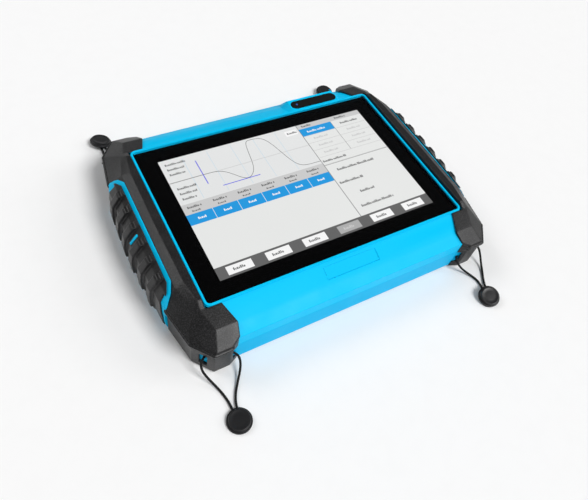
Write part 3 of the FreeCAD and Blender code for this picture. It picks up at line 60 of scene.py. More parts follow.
# ------------------------------------------------------------------------------------------------------
# Anchor cords. Each is one loop of thin braided polyester, threaded through the blue lug in a corner and
# folded inside its disc; its two ends meet half way along the lug's tunnel. The routes are offsets in
# millimetres outwards from the corner of the glass, and heights above the table.
ROOT = "instrument"
GLASS_HALF = np.array([0.126, 0.084])
CORNERS = {
    "front_left": np.array([-1, -1]),
    "front_right": np.array([1, -1]),
    "rear_left": np.array([-1, 1]),
    "rear_right": np.array([1, 1]),
}
CORD_WIDTH = 0.002
TUNNEL_OUT = [(7.4, 22.7, 16.3), (10.9, 23.2, 16.6), (15.6, 26.6, 17.0)]
TUNNEL_BACK = [(-10.6, 30.6, 14.6), (-2.4, 26.0, 15.4), (3.9, 22.7, 16.0), (7.1, 22.7, 16.27)]
LOOPS = {
    "front_left": [
        (18.8, 30.8, 15.1), (17.3, 36.0, 9.4), (13.7, 42.0, 3.8), (10.6, 49.0, 1.15), (8.5, 57.6, 1.1),
        (8.0, 66.2, 1.5), (9.1, 73.4, 2.3), (4.3, 73.4, 2.3), (4.6, 66.4, 1.5), (0.9, 57.2, 1.1),
        (-5.0, 49.0, 1.6), (-10.5, 41.8, 5.6), (-13.0, 35.6, 11.0),
    ],
    "front_right": [
        (19.2, 30.4, 14.9), (20.8, 35.6, 8.2), (19.2, 42.2, 2.8), (15.6, 49.6, 1.1), (10.6, 56.6, 1.1),
        (6.4, 63.8, 1.5), (3.9, 71.8, 2.3), (-0.7, 70.9, 2.3), (2.6, 63.2, 1.5), (3.9, 55.6, 1.1),
        (0.9, 47.6, 1.3), (-5.0, 41.2, 4.6), (-9.8, 36.0, 10.2),
    ],
    "rear_left": [
        (19.8, 31.0, 15.0), (20.8, 36.2, 8.8), (18.6, 42.2, 3.2), (16.2, 48.4, 1.1), (14.8, 53.8, 1.1),
        (14.0, 59.4, 1.5), (15.1, 66.3, 2.3), (10.3, 66.3, 2.3), (10.6, 59.4, 1.5), (6.8, 52.2, 1.1),
        (1.0, 46.2, 1.6), (-6.0, 40.8, 5.6), (-11.2, 35.6, 11.0),
    ],
    "rear_right": [
        (19.8, 31.0, 15.0), (20.0, 36.0, 8.8), (16.8, 41.6, 3.2), (12.6, 46.6, 1.1), (8.6, 51.0, 1.1),
        (4.5, 55.1, 1.5), (3.3, 61.4, 2.3), (-1.6, 60.0, 2.3), (0.3, 53.9, 1.5), (-1.2, 47.4, 1.2),
        (-4.6, 42.0, 3.4), (-9.2, 37.8, 7.6), (-12.2, 34.6, 11.6),
    ],
}


def loop_points(corner):
    """The route in metres: the corner of the glass plus each offset, turned over to its own corner."""
    offsets = np.array(TUNNEL_OUT + LOOPS[corner] + TUNNEL_BACK) / 1000
    points = offsets.copy()
    points[:, :2] = CORNERS[corner] * (GLASS_HALF + offsets[:, :2])
    return points


def show(name, data, body=ROOT):
    """An object for finished data, in the scene and riding on a body."""
    piece = bpy.data.objects.new(name, data)
    bpy.context.collection.objects.link(piece)
    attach(piece, body)
    return piece


def cord_curve(name, points, width):
    """A round cord along one smooth spline whose control points are the route's points."""
    curve = bpy.data.curves.new(name, "CURVE")
    curve.dimensions = "3D"
    curve.bevel_depth = width / 2
    curve.bevel_resolution = 5
    curve.resolution_u = 14
    curve.use_fill_caps = True
    spline = curve.splines.new("NURBS")
    spline.points.add(len(points) - 1)
    spline.points.foreach_set("co", np.c_[points, np.ones(len(points))].ravel())
    spline.order_u = 3
    spline.use_endpoint_u = True
    return curve


def add(tree, kind, inputs=None, **settings):
    """One node with its settings; an input is given as a value or as another node's output."""
    made = tree.nodes.new(kind)
    for key, setting in settings.items():
        setattr(made, key, setting)
    for key, given in (inputs or {}).items():
        if isinstance(given, bpy.types.NodeSocket):
            tree.links.new(given, made.inputs[key])
        else:
            made.inputs[key].default_value = given
    return made


def new_material(name):
    """An empty node material with its output, and the tree that its nodes go in."""
    material = bpy.data.materials.new(name)
    material.use_nodes = True
    tree = material.node_tree
    tree.nodes.clear()
    return material, tree


def principled(tree, **inputs):
    """The Principled shader joined to the material's output; names come with underscores for spaces."""
    named = {key.replace("_", " "): given for key, given in inputs.items()}
    shader = add(tree, "ShaderNodeBsdfPrincipled", named)
    output = add(tree, "ShaderNodeOutputMaterial")
    tree.links.new(shader.outputs[0], output.inputs["Surface"])
    return shader


def braided_cord():
    """Black polyester: two crossed spiral waves along the cord make the braid's bumps and sheen."""
    material, tree = new_material("braided_cord")
    place = add(tree, "ShaderNodeTexCoord")
    heights = []
    for turn in (1, -1):
        spun = add(tree, "ShaderNodeMapping", {"Vector": place.outputs["UV"], "Scale": (90, 2 * turn, 1)})
        wave = add(tree, "ShaderNodeTexWave", {"Vector": spun.outputs[0], "Scale": 1.0, "Distortion": 0.3},
                   bands_direction="DIAGONAL")
        heights.append(wave.outputs["Fac"])
    crossed = add(tree, "ShaderNodeMath", {0: heights[0], 1: heights[1]}, operation="MAXIMUM")
    fuzz = add(tree, "ShaderNodeTexNoise", {"Vector": place.outputs["Object"], "Scale": 2600.0})
    tone = add(tree, "ShaderNodeMix", {"Factor": fuzz.outputs["Fac"], "A": (0.003, 0.003, 0.003, 1),
                                      "B": (0.012, 0.012, 0.013, 1)}, data_type="RGBA")
    bump = add(tree, "ShaderNodeBump", {"Height": crossed.outputs[0], "Distance": 0.00012, "Strength": 0.8})
    principled(tree, Base_Color=tone.outputs["Result"], Roughness=0.62, Normal=bump.outputs[0],
               Specular_IOR_Level=0.2, Sheen_Weight=0.02)
    return material


cord_material = braided_cord()
for corner in CORNERS:
    curve = cord_curve(f"cord_{corner}", loop_points(corner), CORD_WIDTH)
    curve.materials.append(cord_material)
    show(f"cord_{corner}", curve)
    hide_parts(f"anchor_cord_{corner}")


# ------------------------------------------------------------------------------------------------------
# Anchor discs. Turned-looking discs of satin black plastic, moulded in two halves round the fold of the
# cord: a wide flange below and a narrower cap above, with a small groove between them.
DISC_RADIUS = 0.0102
CAP_RADIUS = 0.0087
DISC_HEIGHT = 0.0046
DISC_ROUND = 0.0008
DISC_FOOT = 0.00005
# Points of the cord's route at its fold and where it goes into the disc, and the disc's middle past the fold.
FOLD = (9, 10)
FOLD_ENTRY = (8, 11)
FOLD_TO_MIDDLE = 0.004
LEANS = {"front_left": (0, 0), "front_right": (13, -11), "rear_left": (-9, 12), "rear_right": (8, 6)}


def arc(middle, radius, start, end, count=6):
    """Points of a round stretch: its middle plus the radius times cosine and sine of even angles."""
    angles = np.radians(np.linspace(start, end, count))
    return np.array(middle) + radius * np.c_[np.cos(angles), np.sin(angles)]


def mesh_from(name, points, faces, smooth_angle=32):
    """A mesh from arrays of points and faces, shaded smooth except across edges past an angle."""
    mesh = bpy.data.meshes.new(name)
    mesh.from_pydata(points, [], faces)
    mesh.shade_smooth()
    if smooth_angle:
        mesh.set_sharp_from_angle(angle=math.radians(smooth_angle))
    return mesh


def turned(name, profile, segments=96):
    """A profile of radius and height spun about Z: each ring is its radius times cosine and sine.
    The first and last profile points lie on the axis and close the shape."""
    around = np.linspace(0, 2 * np.pi, segments, endpoint=False)
    rings = profile[1:-1]
    grid = np.stack([
        rings[:, 0, None] * np.cos(around),
        rings[:, 0, None] * np.sin(around),
        np.repeat(rings[:, 1, None], segments, axis=1),
    ], axis=-1).reshape(-1, 3)
    ends = [(0, 0, profile[0, 1]), (0, 0, profile[-1, 1])]
    points = np.vstack([grid, ends])
    row, column = np.meshgrid(np.arange(len(rings) - 1), np.arange(segments), indexing="ij")
    here = (row * segments + column).ravel()
    beside = (row * segments + (column + 1) % segments).ravel()
    quads = np.c_[here, beside, beside + segments, here + segments]
    first = np.arange(segments)
    last = first + (len(rings) - 1) * segments
    bottom = np.c_[np.roll(first, -1), first, np.full(segments, len(grid))]
    top = np.c_[last, np.roll(last, -1), np.full(segments, len(grid) + 1)]
    return mesh_from(name, points, quads.tolist() + bottom.tolist() + top.tolist())


def tilt(mesh, degrees_x, degrees_y, foot):
    """Lean a mesh about X and Y, rest its lowest point at a height, and give the turned points back."""
    points = np.empty(len(mesh.vertices) * 3)
    mesh.vertices.foreach_get("co", points)
    points = points.reshape(-1, 3)
    a, b = math.radians(degrees_x), math.radians(degrees_y)
    about_x = np.array([[1, 0, 0], [0, math.cos(a), -math.sin(a)], [0, math.sin(a), math.cos(a)]])
    about_y = np.array([[math.cos(b), 0, math.sin(b)], [0, 1, 0], [-math.sin(b), 0, math.cos(b)]])
    points = points @ (about_y @ about_x).T
    points[:, 2] += foot - points[:, 2].min()
    mesh.vertices.foreach_set("co", points.ravel())
    return mesh


def shift(mesh, offset):
    """Move every point of a mesh by the same offset."""
    points = np.empty(len(mesh.vertices) * 3)
    mesh.vertices.foreach_get("co", points)
    mesh.vertices.foreach_set("co", (points.reshape(-1, 3) + offset).ravel())
    return mesh


def grain_group():
    """Moulded surface: fine grain from noise less cells, slow tone changes, and edges from pointiness.
    Gives a normal, a fine speckle mask, a slow variation mask and an edge mask for a painted highlight."""
    tree = bpy.data.node_groups.new("moulded_surface", "ShaderNodeTree")
    for name, kind, default in (
        ("Grain Size", "NodeSocketFloat", 900.0),
        ("Grain Depth", "NodeSocketFloat", 0.00005),
    ):
        tree.interface.new_socket(name, in_out="INPUT", socket_type=kind).default_value = default
    for name, kind in (
        ("Normal", "NodeSocketVector"),
        ("Speckle", "NodeSocketFloat"),
        ("Variation", "NodeSocketFloat"),
        ("Edge", "NodeSocketFloat"),
    ):
        tree.interface.new_socket(name, in_out="OUTPUT", socket_type=kind)
    given = add(tree, "NodeGroupInput")
    place = add(tree, "ShaderNodeTexCoord").outputs["Object"]
    fine = add(tree, "ShaderNodeTexNoise", {"Vector": place, "Scale": given.outputs["Grain Size"],
                                           "Detail": 3.0, "Roughness": 0.6})
    cells = add(tree, "ShaderNodeTexVoronoi", {"Vector": place, "Scale": given.outputs["Grain Size"]})
    height = add(tree, "ShaderNodeMath", {0: fine.outputs["Fac"], 1: cells.outputs["Distance"]},
                 operation="SUBTRACT")
    bump = add(tree, "ShaderNodeBump", {"Height": height.outputs[0], "Strength": 1.0,
                                        "Distance": given.outputs["Grain Depth"]})
    slow = add(tree, "ShaderNodeTexNoise", {"Vector": place, "Scale": 38.0, "Detail": 4.0})
    slow_mask = add(tree, "ShaderNodeMapRange", {"Value": slow.outputs["Fac"], "From Min": 0.35,
                                                 "From Max": 0.65})
    speckle = add(tree, "ShaderNodeMapRange", {"Value": fine.outputs["Fac"], "From Min": 0.46,
                                               "From Max": 0.66})
    edge = add(tree, "ShaderNodeMapRange", {"Value": add(tree, "ShaderNodeNewGeometry").outputs["Pointiness"],
                                            "From Min": 0.515, "From Max": 0.6})
    add(tree, "NodeGroupOutput", {
        "Normal": bump.outputs[0],
        "Speckle": speckle.outputs[0],
        "Variation": slow_mask.outputs[0],
        "Edge": edge.outputs[0],
    })
    return tree


moulded_surface = grain_group()


def moulded(name, colour, second, highlight_colour, roughness, grain=(900.0, 0.00005), edge_highlight=0.3, speckle=0.35,
            metallic=0.0, coat=0.0, gloss=0.25):
    """A moulded or coated finish: the colour shifts to a second tone in slow patches and fine specks,
    and to a lighter painted highlight where the form turns sharply; roughness follows the slow patches."""
    material, tree = new_material(name)
    surface = add(tree, "ShaderNodeGroup", node_tree=moulded_surface)
    surface.inputs["Grain Size"].default_value = grain[0]
    surface.inputs["Grain Depth"].default_value = grain[1]
    specks = add(tree, "ShaderNodeMath", {0: surface.outputs["Speckle"], 1: speckle}, operation="MULTIPLY")
    patches = add(tree, "ShaderNodeMath", {0: surface.outputs["Variation"], 1: 0.15, 2: specks.outputs[0]},
                  operation="MULTIPLY_ADD", use_clamp=True)
    tone = add(tree, "ShaderNodeMix", {"Factor": patches.outputs[0], "A": (*colour, 1), "B": (*second, 1)},
               data_type="RGBA")
    # Painted highlight: sharp edges are mixed towards a lighter colour, by the edge mask times its strength.
    highlight_mask = add(tree, "ShaderNodeMath", {0: surface.outputs["Edge"], 1: edge_highlight}, operation="MULTIPLY",
                 use_clamp=True)
    with_highlight = add(tree, "ShaderNodeMix", {"Factor": highlight_mask.outputs[0], "A": tone.outputs["Result"],
                                      "B": (*highlight_colour, 1)}, data_type="RGBA")
    rough = add(tree, "ShaderNodeMapRange", {"Value": surface.outputs["Variation"],
                                             "To Min": roughness - 0.04, "To Max": roughness + 0.05})
    principled(tree, Base_Color=with_highlight.outputs["Result"], Roughness=rough.outputs[0], Metallic=metallic,
               Normal=surface.outputs["Normal"], Coat_Weight=coat, Coat_Roughness=0.12,
               Specular_IOR_Level=0.5 if metallic else gloss)
    return material


disc_material = moulded("satin_black", (0.008, 0.008, 0.009), (0.016, 0.016, 0.017), (0.06, 0.06, 0.064),
                        0.38, grain=(1500.0, 0.00002), gloss=0.35)
disc_profile = np.vstack([
    [(0, 0)],
    arc((DISC_RADIUS - DISC_ROUND, DISC_ROUND), DISC_ROUND, -90, 0),
    arc((DISC_RADIUS - 0.0005, 0.0018), 0.0005, 0, 90),
    [(CAP_RADIUS + 0.0004, 0.0023), (CAP_RADIUS, 0.0026)],
    arc((CAP_RADIUS - DISC_ROUND, DISC_HEIGHT - DISC_ROUND), DISC_ROUND, 0, 90),
    [(CAP_RADIUS - 0.0014, DISC_HEIGHT), (CAP_RADIUS - 0.0018, DISC_HEIGHT - 0.0002),
     (CAP_RADIUS * 0.5, DISC_HEIGHT - 0.0001), (0, DISC_HEIGHT)],
])
for corner in CORNERS:
    route = loop_points(corner)
    fold = route[list(FOLD)].mean(axis=0)
    entry = route[list(FOLD_ENTRY)].mean(axis=0)
    inward = (fold - entry)[:2] / np.linalg.norm((fold - entry)[:2])
    centre = np.append(fold[:2] + inward * FOLD_TO_MIDDLE, 0)
    disc_mesh = shift(tilt(turned(f"disc_{corner}", disc_profile), *LEANS[corner], DISC_FOOT), centre)
    disc_mesh.materials.append(disc_material)
    disc = show(f"disc_{corner}", disc_mesh)
    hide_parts(f"anchor_disc_{corner}")


# ------------------------------------------------------------------------------------------------------
# Blue housings. Injection-moulded satin plastic in two halves: the upper one carries the bead round the
# glass, both slopes and the label pod, the lower one is a plain tub, screwed up from below.
EDGE_ROUND = 0.0004
EDGE_ANGLE = 28
SHARP_ANGLE = 40
MERGE_STEP = 1e-6
FLAT_ANGLE = 0.6


def node_arrays(node):
    """The frame's triangles for one node, with doubled points merged: positions and faces."""
    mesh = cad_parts[node].data
    points = np.empty(len(mesh.vertices) * 3)
    mesh.vertices.foreach_get("co", points)
    mesh.calc_loop_triangles()
    corners = np.empty(len(mesh.loop_triangles) * 3, dtype=np.int32)
    mesh.loop_triangles.foreach_get("vertices", corners)
    keys = np.round(points.reshape(-1, 3) / MERGE_STEP).astype(np.int64)
    unique, inverse = np.unique(keys, axis=0, return_inverse=True)
    faces = inverse.ravel()[corners].reshape(-1, 3)
    solid = (faces[:, 0] != faces[:, 1]) & (faces[:, 1] != faces[:, 2]) & (faces[:, 2] != faces[:, 0])
    return unique * MERGE_STEP, faces[solid]


def flat_faced_copy(node):
    """A copy of a node with the triangles of each flat face joined into one face."""
    points, faces = node_arrays(node)
    mesh = mesh_from(f"{node}_copy", points, faces.tolist(), None)
    form = bmesh.new()
    form.from_mesh(mesh)
    bmesh.ops.dissolve_limit(form, angle_limit=math.radians(FLAT_ANGLE), verts=form.verts, edges=form.edges)
    form.to_mesh(mesh)
    form.free()
    return mesh


def finished(piece):
    """Apply a piece's modifiers and keep the result as its plain mesh."""
    graph = bpy.context.evaluated_depsgraph_get()
    made = bpy.data.meshes.new_from_object(piece.evaluated_get(graph))
    piece.modifiers.clear()
    piece.data = made


def softened(node, name, material):
    """A node with its edges rounded: a bevel of three steps on every edge past an angle."""
    piece = show(name, flat_faced_copy(node))
    bevel = piece.modifiers.new("edges", "BEVEL")
    bevel.width = EDGE_ROUND
    bevel.segments = 3
    bevel.limit_method = "ANGLE"
    bevel.angle_limit = math.radians(EDGE_ANGLE)
    bevel.use_clamp_overlap = False
    bevel.miter_outer = "MITER_ARC"
    finished(piece)
    piece.data.shade_smooth()
    piece.data.set_sharp_from_angle(angle=math.radians(SHARP_ANGLE))
    weighted = piece.modifiers.new("shading", "WEIGHTED_NORMAL")
    weighted.keep_sharp = True
    finished(piece)
    piece.data.materials.clear()
    piece.data.materials.append(material)
    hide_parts(node)


# The same blue plastic in two copies: the lighter one for the upper half, and a darker one as painted shade
# for the lower half.
bright_blue = moulded("bright_blue", (0.0, 0.55, 0.91), (0.0, 0.51, 0.86), (0.0, 0.62, 1.0), 0.42,
                      grain=(1500.0, 0.000012), edge_highlight=0.35, speckle=0.12, gloss=0.08)
shaded_blue = moulded("shaded_blue", (0.0, 0.48, 0.84), (0.0, 0.42, 0.76), (0.0, 0.56, 0.95), 0.46,
                     grain=(1500.0, 0.000016), edge_highlight=0.25, speckle=0.15, gloss=0.08)
softened("front_housing", "upper_shell", bright_blue)
softened("rear_housing", "lower_shell", shaded_blue)


def dress(node, material):
    """Give a node that keeps its own shape a finish."""
    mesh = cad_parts[node].data
    mesh.materials.clear()
    mesh.materials.append(material)


# ------------------------------------------------------------------------------------------------------
# Upper guards and corner bumpers. Grained black rubber mouldings pressed over the housings' short sides
# and corners; their edges are rounded by the mould and painted a little lighter as a highlight.
guard_rubber = moulded("guard_rubber", (0.0012, 0.0012, 0.0013), (0.034, 0.034, 0.036),
                       (0.035, 0.035, 0.037), 0.40, grain=(1100.0, 0.00005), edge_highlight=0.3, speckle=0.85,
                       gloss=0.38)


def moulded_rubber(node, name, material, voxel=0.00062, passes=3, cutter=None):
    """A node remade as an even skin of small squares, then evened out so that its edges turn round."""
    points, faces = node_arrays(node)
    piece = show(name, mesh_from(name, points, faces.tolist(), None))
    if cutter:
        trim = piece.modifiers.new("trim", "BOOLEAN")
        trim.operation = "DIFFERENCE"
        trim.solver = "EXACT"
        trim.object = cutter
    skin = piece.modifiers.new("skin", "REMESH")
    skin.mode = "VOXEL"
    skin.voxel_size = voxel
    evened = piece.modifiers.new("evened", "SMOOTH")
    evened.factor = 0.5
    evened.iterations = passes
    finished(piece)
    piece.data.shade_smooth()
    piece.data.materials.clear()
    piece.data.materials.append(material)
    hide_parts(node)
    return piece


# The band round each bumper: heights below its top, and how far out the wall stands at each. Only points
# further out across the instrument than BAND_START move, fully so after BAND_BLEND more.
BAND_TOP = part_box("corner_bumper_front_left")[1][2]
BAND_LEVELS = (-0.0062, -0.0058, -0.0046, -0.0042, -0.0030, -0.0008, 0.0)
BAND_OUT = (0.0, -0.0018, -0.0018, 0.0002, 0.0010, 0.0014, 0.0010)
BAND_START = 0.118
BAND_BLEND = 0.002
STEEPEST_WALL = 0.8


def moved_skin(piece, offset_of):
    """Move each point by the offset that a function gives for all points and outward directions."""
    mesh = piece.data
    points = np.empty(len(mesh.vertices) * 3)
    normals = np.empty(len(mesh.vertices) * 3)
    mesh.vertices.foreach_get("co", points)
    mesh.vertices.foreach_get("normal", normals)
    points, normals = points.reshape(-1, 3), normals.reshape(-1, 3)
    mesh.vertices.foreach_set("co", (points + offset_of(points, normals)).ravel())
    mesh.update()


def step_up(values, start, width):
    """0 below a start, 1 above it and its width, and a straight rise between."""
    return np.clip((values - start) / width, 0, 1)


def band_offset(points, normals):
    """The bumper's band: straight out from the instrument by a size that follows the height, a groove
    below and an overhanging band above it. Only the outside walls move."""
    outward = np.where(np.abs(normals[:, 2]) < STEEPEST_WALL, 1.0, 0.0)
    outward *= normals[:, 0] * points[:, 0] + normals[:, 1] * points[:, 1] > 0
    outward *= step_up(np.abs(points[:, 0]), BAND_START, BAND_BLEND)
    flat = normals * (1, 1, 0)
    return flat * (outward * np.interp(points[:, 2] - BAND_TOP, BAND_LEVELS, BAND_OUT))[:, None]


for side in ("left", "right"):
    moulded_rubber(f"upper_guard_{side}", f"guard_{side}", guard_rubber)
for corner in CORNERS:
    bumper = moulded_rubber(f"corner_bumper_{corner}", f"bumper_{corner}", guard_rubber)
    moved_skin(bumper, band_offset)


# ------------------------------------------------------------------------------------------------------
# Strap lugs. Blue blocks of the lower housing's plastic that show in the bumpers' slots, each with a
# tunnel for its cord; like the lower housing they take the darker copy of the blue, a painted shade.
for corner in CORNERS:
    dress(f"strap_lug_{corner}", shaded_blue)


# ------------------------------------------------------------------------------------------------------
# Side grips. A blue carrier clips into each guard, and a soft black pad with raised ribs is moulded on it;
# a small blue tick marks the middle.
grip_rubber = moulded("grip_rubber", (0.0010, 0.0010, 0.0011), (0.018, 0.018, 0.019), (0.05, 0.05, 0.053),
                      0.36, grain=(1300.0, 0.00004), edge_highlight=0.6, speckle=0.8, gloss=0.42)
GRIP_VOXEL = 0.0005
GRIP_PASSES = 4
WEDGE_REACH = 0.2
PAD_END_TRIM = np.array([(0.0585, 0.0425), (0.080, 0.0425), (0.080, 0.006), (0.0690, 0.006)])


def end_wedges():
    """Two prisms along X, one past each end of a pad, whose slanted faces trim the pad's side."""
    corners = np.vstack([PAD_END_TRIM, PAD_END_TRIM * (-1, 1)])
    points = np.vstack([np.c_[np.full(8, across), corners] for across in (-WEDGE_REACH, WEDGE_REACH)])
    faces = []
    for start in (0, 4):
        ring = np.arange(start, start + 4)
        beside = np.roll(ring, -1)
        faces += [ring.tolist(), (ring + 8).tolist(), *np.c_[ring, beside, beside + 8, ring + 8].tolist()]
    mesh = mesh_from("end_wedges", points, faces, None)
    form = bmesh.new()
    form.from_mesh(mesh)
    bmesh.ops.recalc_face_normals(form, faces=form.faces)
    form.to_mesh(mesh)
    form.free()
    wedges = bpy.data.objects.new("end_wedges", mesh)
    bpy.context.collection.objects.link(wedges)
    return wedges


RIB_PITCH = 0.018
RIB_COUNT = 6
RIB_HALF = 0.0034
RIB_BLEND = 0.0008
RIB_EXTRA = 0.0012
FACING_LIMIT = -0.2
# The way out of the grip's side at each height: how much of it goes outwards and how much upwards.
LEAN_LEVELS = (0.024, 0.034, 0.042, 0.049)
LEAN_OUT = (1.0, 0.95, 0.80, 0.75)
LEAN_UP = (0.0, 0.25, 0.58, 0.66)


def rib_offset(points, normals):
    """Each rib stands further out: a share that is 1 on a rib and falls to 0 beside it, times the way
    out of the grip's side at that height."""
    places = (np.arange(RIB_COUNT) - (RIB_COUNT - 1) / 2) * RIB_PITCH
    near = np.abs(points[:, 1, None] - places).min(axis=1)
    share = 1 - step_up(near, RIB_HALF, RIB_BLEND)
    out = np.interp(points[:, 2], LEAN_LEVELS, LEAN_OUT) * np.sign(points[:, 0])
    up = np.interp(points[:, 2], LEAN_LEVELS, LEAN_UP)
    facing = normals[:, 0] * out + normals[:, 2] * up > FACING_LIMIT
    return np.c_[out, np.zeros(len(out)), up] * (share * facing * RIB_EXTRA)[:, None]


wedges = end_wedges()
for side in ("left", "right"):
    dress(f"grip_carrier_{side}", bright_blue)
    dress(f"grip_accent_{side}", bright_blue)
    grip_pad = moulded_rubber(f"grip_pad_{side}", f"pad_{side}", grip_rubber, GRIP_VOXEL,
                              GRIP_PASSES, wedges)
    moved_skin(grip_pad, rib_offset)
bpy.data.objects.remove(wedges)


# ------------------------------------------------------------------------------------------------------
# Display. Cover glass bonded over a black printed border, and below it a panel whose lit picture shows a
# trace, a table and keys, all without letters.
def clear_glass():
    """Clear coated glass: light goes through to the panel, and a weak Fresnel gives its reflections."""
    material, tree = new_material("cover_glass")
    fresnel = add(tree, "ShaderNodeFresnel", {"IOR": 1.14})
    place = add(tree, "ShaderNodeTexCoord").outputs["Object"]
    smears = add(tree, "ShaderNodeTexNoise", {"Vector": place, "Scale": 24.0, "Detail": 5.0})
    rough = add(tree, "ShaderNodeMapRange", {"Value": smears.outputs["Fac"], "To Min": 0.01, "To Max": 0.06})
    clear = add(tree, "ShaderNodeBsdfTransparent", {"Color": (1, 1, 1, 1)})
    gloss = add(tree, "ShaderNodeBsdfGlossy", {"Roughness": rough.outputs[0], "Color": (0.9, 0.95, 1, 1)})
    mixed = add(tree, "ShaderNodeMixShader", {0: fresnel.outputs[0], 1: clear.outputs[0],
                                              2: gloss.outputs[0]})
    output = add(tree, "ShaderNodeOutputMaterial")
    tree.links.new(mixed.outputs[0], output.inputs["Surface"])
    return material


dress("cover_glass", clear_glass())
border_black = moulded("border_black", (0.0006, 0.0006, 0.0007), (0.001, 0.001, 0.0011),
                       (0.001, 0.001, 0.001), 0.5, grain=(2000.0, 0.000002), edge_highlight=0.0, gloss=0.02)
dress("glass_tape", border_black)
dress("display_panel", border_black)

PICTURE = np.array([0.21696, 0.1356])
BORDER_CORNER = 0.0035
BORDER_LEVELS = (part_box("cover_glass")[0][2] - 0.00003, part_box("cover_glass")[0][2] + 0.00004)


def rounded_ring(half, radius, steps=8):
    """A rounded rectangle's points: each corner's middle plus a quarter circle."""
    quarters = []
    for k, (sign_x, sign_y) in enumerate(((1, 1), (-1, 1), (-1, -1), (1, -1))):
        middle = np.array([sign_x * (half[0] - radius), sign_y * (half[1] - radius)])
        quarters.append(arc(middle, radius, 90 * k, 90 * k + 90, steps))
    return np.vstack(quarters)


def printed_border():
    """The black print under the glass: a flat ring from the glass's edge to the picture's, closed."""
    outer = rounded_ring(GLASS_HALF - 0.0001, BORDER_CORNER)
    inner = rounded_ring(PICTURE / 2, 0.0002)
    count = len(outer)
    rings = [np.c_[line, np.full(count, level)] for level in BORDER_LEVELS for line in (outer, inner)]
    ring = np.arange(count)
    beside = np.roll(ring, -1)
    faces = [
        np.c_[ring + a, beside + a, beside + b, ring + b]
        for a, b in ((count, 0), (0, 2 * count), (2 * count, 3 * count), (3 * count, count))
    ]
    return mesh_from("printed_border", np.vstack(rings), np.vstack(faces).tolist(), 30)


border = show("printed_border", printed_border())
border.data.materials.append(border_black)
PICTURE_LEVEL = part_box("display_panel")[1][2]
LAYER = 0.00003
INK = {
    "paper": (0.80, 0.81, 0.80),
    "plot": (0.78, 0.79, 0.79),
    "pale": (0.84, 0.85, 0.85),
    "header": (0.60, 0.60, 0.60),
    "bar": (0.115, 0.115, 0.115),
    "blue": (0.0, 0.31, 0.74),
    "cursor": (0.03, 0.03, 0.75),
    "grid": (0.52, 0.68, 0.80),
    "line": (0.22, 0.22, 0.22),
    "faint": (0.58, 0.58, 0.58),
    "text": (0.10, 0.10, 0.10),
    "white": (0.93, 0.93, 0.93),
    "key_grey": (0.42, 0.42, 0.42),
}
BLOCK_WIDTHS = (0.0052, 0.0038, 0.0058, 0.0046)
BLOCK_HEIGHTS = (1.0, 0.62, 0.70, 0.62, 1.0)
BLOCK_GAP = 0.0022
WORD_GAP = 0.0060
WORD_BLOCKS = 7
TRACE_HALF = 0.00022
TRACE_LAYER = 6
tiles = []


def tile(left, top, width, height, ink, layer=1):
    """A flat rectangle of the picture, in shares of its width from the left and height from the top."""
    tiles.append((left, top, left + width, top + height, ink, layer))


def text_bar(left, middle, width, ink="text", size=0.018, layer=3):
    """A word's place: a row of uneven small blocks, their heights and gaps taken in turn."""
    at = left
    count = 0
    while at < left + width:
        wide = BLOCK_WIDTHS[count % len(BLOCK_WIDTHS)]
        tall = size * BLOCK_HEIGHTS[count % len(BLOCK_HEIGHTS)]
        tile(at, middle + size / 2 - tall, wide, tall, ink, layer)
        count += 1
        at += wide + (WORD_GAP if count % WORD_BLOCKS == 0 else BLOCK_GAP)


tile(0, 0, 1, 1, "paper", 0)
tile(0, 0, 0.655, 0.40, "plot")
for column in range(5):
    tile(0.10 + 0.11 * column, 0.02, 0.0018, 0.37, "grid", 2)
tile(0, 0.205, 0.655, 0.004, "faint", 2)
tile(0.655, 0, 0.003, 0.91, "line", 2)
tile(0.145, 0.07, 0.0035, 0.22, "cursor", 4)
tile(0.20, 0.335, 0.17, 0.005, "cursor", 4)
for row in range(3):
    text_bar(0.02, 0.045 + 0.045 * row, 0.085 - 0.012 * row)
    text_bar(0.02, 0.265 + 0.045 * row, 0.08 - 0.01 * row)
tile(0.585, 0.03, 0.06, 0.05, "white", 2)
text_bar(0.594, 0.055, 0.042)
tile(0, 0.40, 0.655, 0.085, "header")
tile(0, 0.485, 0.655, 0.085, "blue")
for column in range(6):
    left = 0.02 + 0.109 * column
    text_bar(left, 0.43, 0.06)
    text_bar(left + 0.012, 0.465, 0.035, size=0.012)
    text_bar(left + 0.02, 0.528, 0.03, "white")
    if column:
        tile(left - 0.02, 0.485, 0.002, 0.085, "pale", 2)
tile(0.658, 0, 0.342, 0.045, "header")
text_bar(0.68, 0.022, 0.05)
text_bar(0.86, 0.022, 0.06)
tile(0.658, 0.045, 0.17, 0.075, "blue", 2)
text_bar(0.69, 0.083, 0.09, "white")
text_bar(0.87, 0.083, 0.09)
for row in range(5):
    tile(0.658, 0.12 + 0.075 * row, 0.342, 0.003, "faint", 2)
    if 0 < row < 4:
        for left in (0.70, 0.88):
            text_bar(left, 0.158 + 0.075 * (row - 1), 0.07, "faint")
tile(0.828, 0.045, 0.002, 0.30, "line", 2)
text_bar(0.665, 0.388, 0.12)
tile(0.658, 0.425, 0.342, 0.0035, "line", 2)
for row, (left, width) in enumerate(((0.70, 0.19), (0.67, 0.12), (0.73, 0.07), (0.69, 0.16))):
    text_bar(left, 0.49 + 0.115 * row, width, size=0.02)
tile(0, 0.91, 1, 0.09, "bar")
for key in range(6):
    grey = key == 3
    tile(0.04 + 0.163 * key, 0.925, 0.105, 0.06, "key_grey" if grey else "white", 3)
    text_bar(0.065 + 0.163 * key, 0.955, 0.05, "faint" if grey else "text", size=0.02, layer=4)


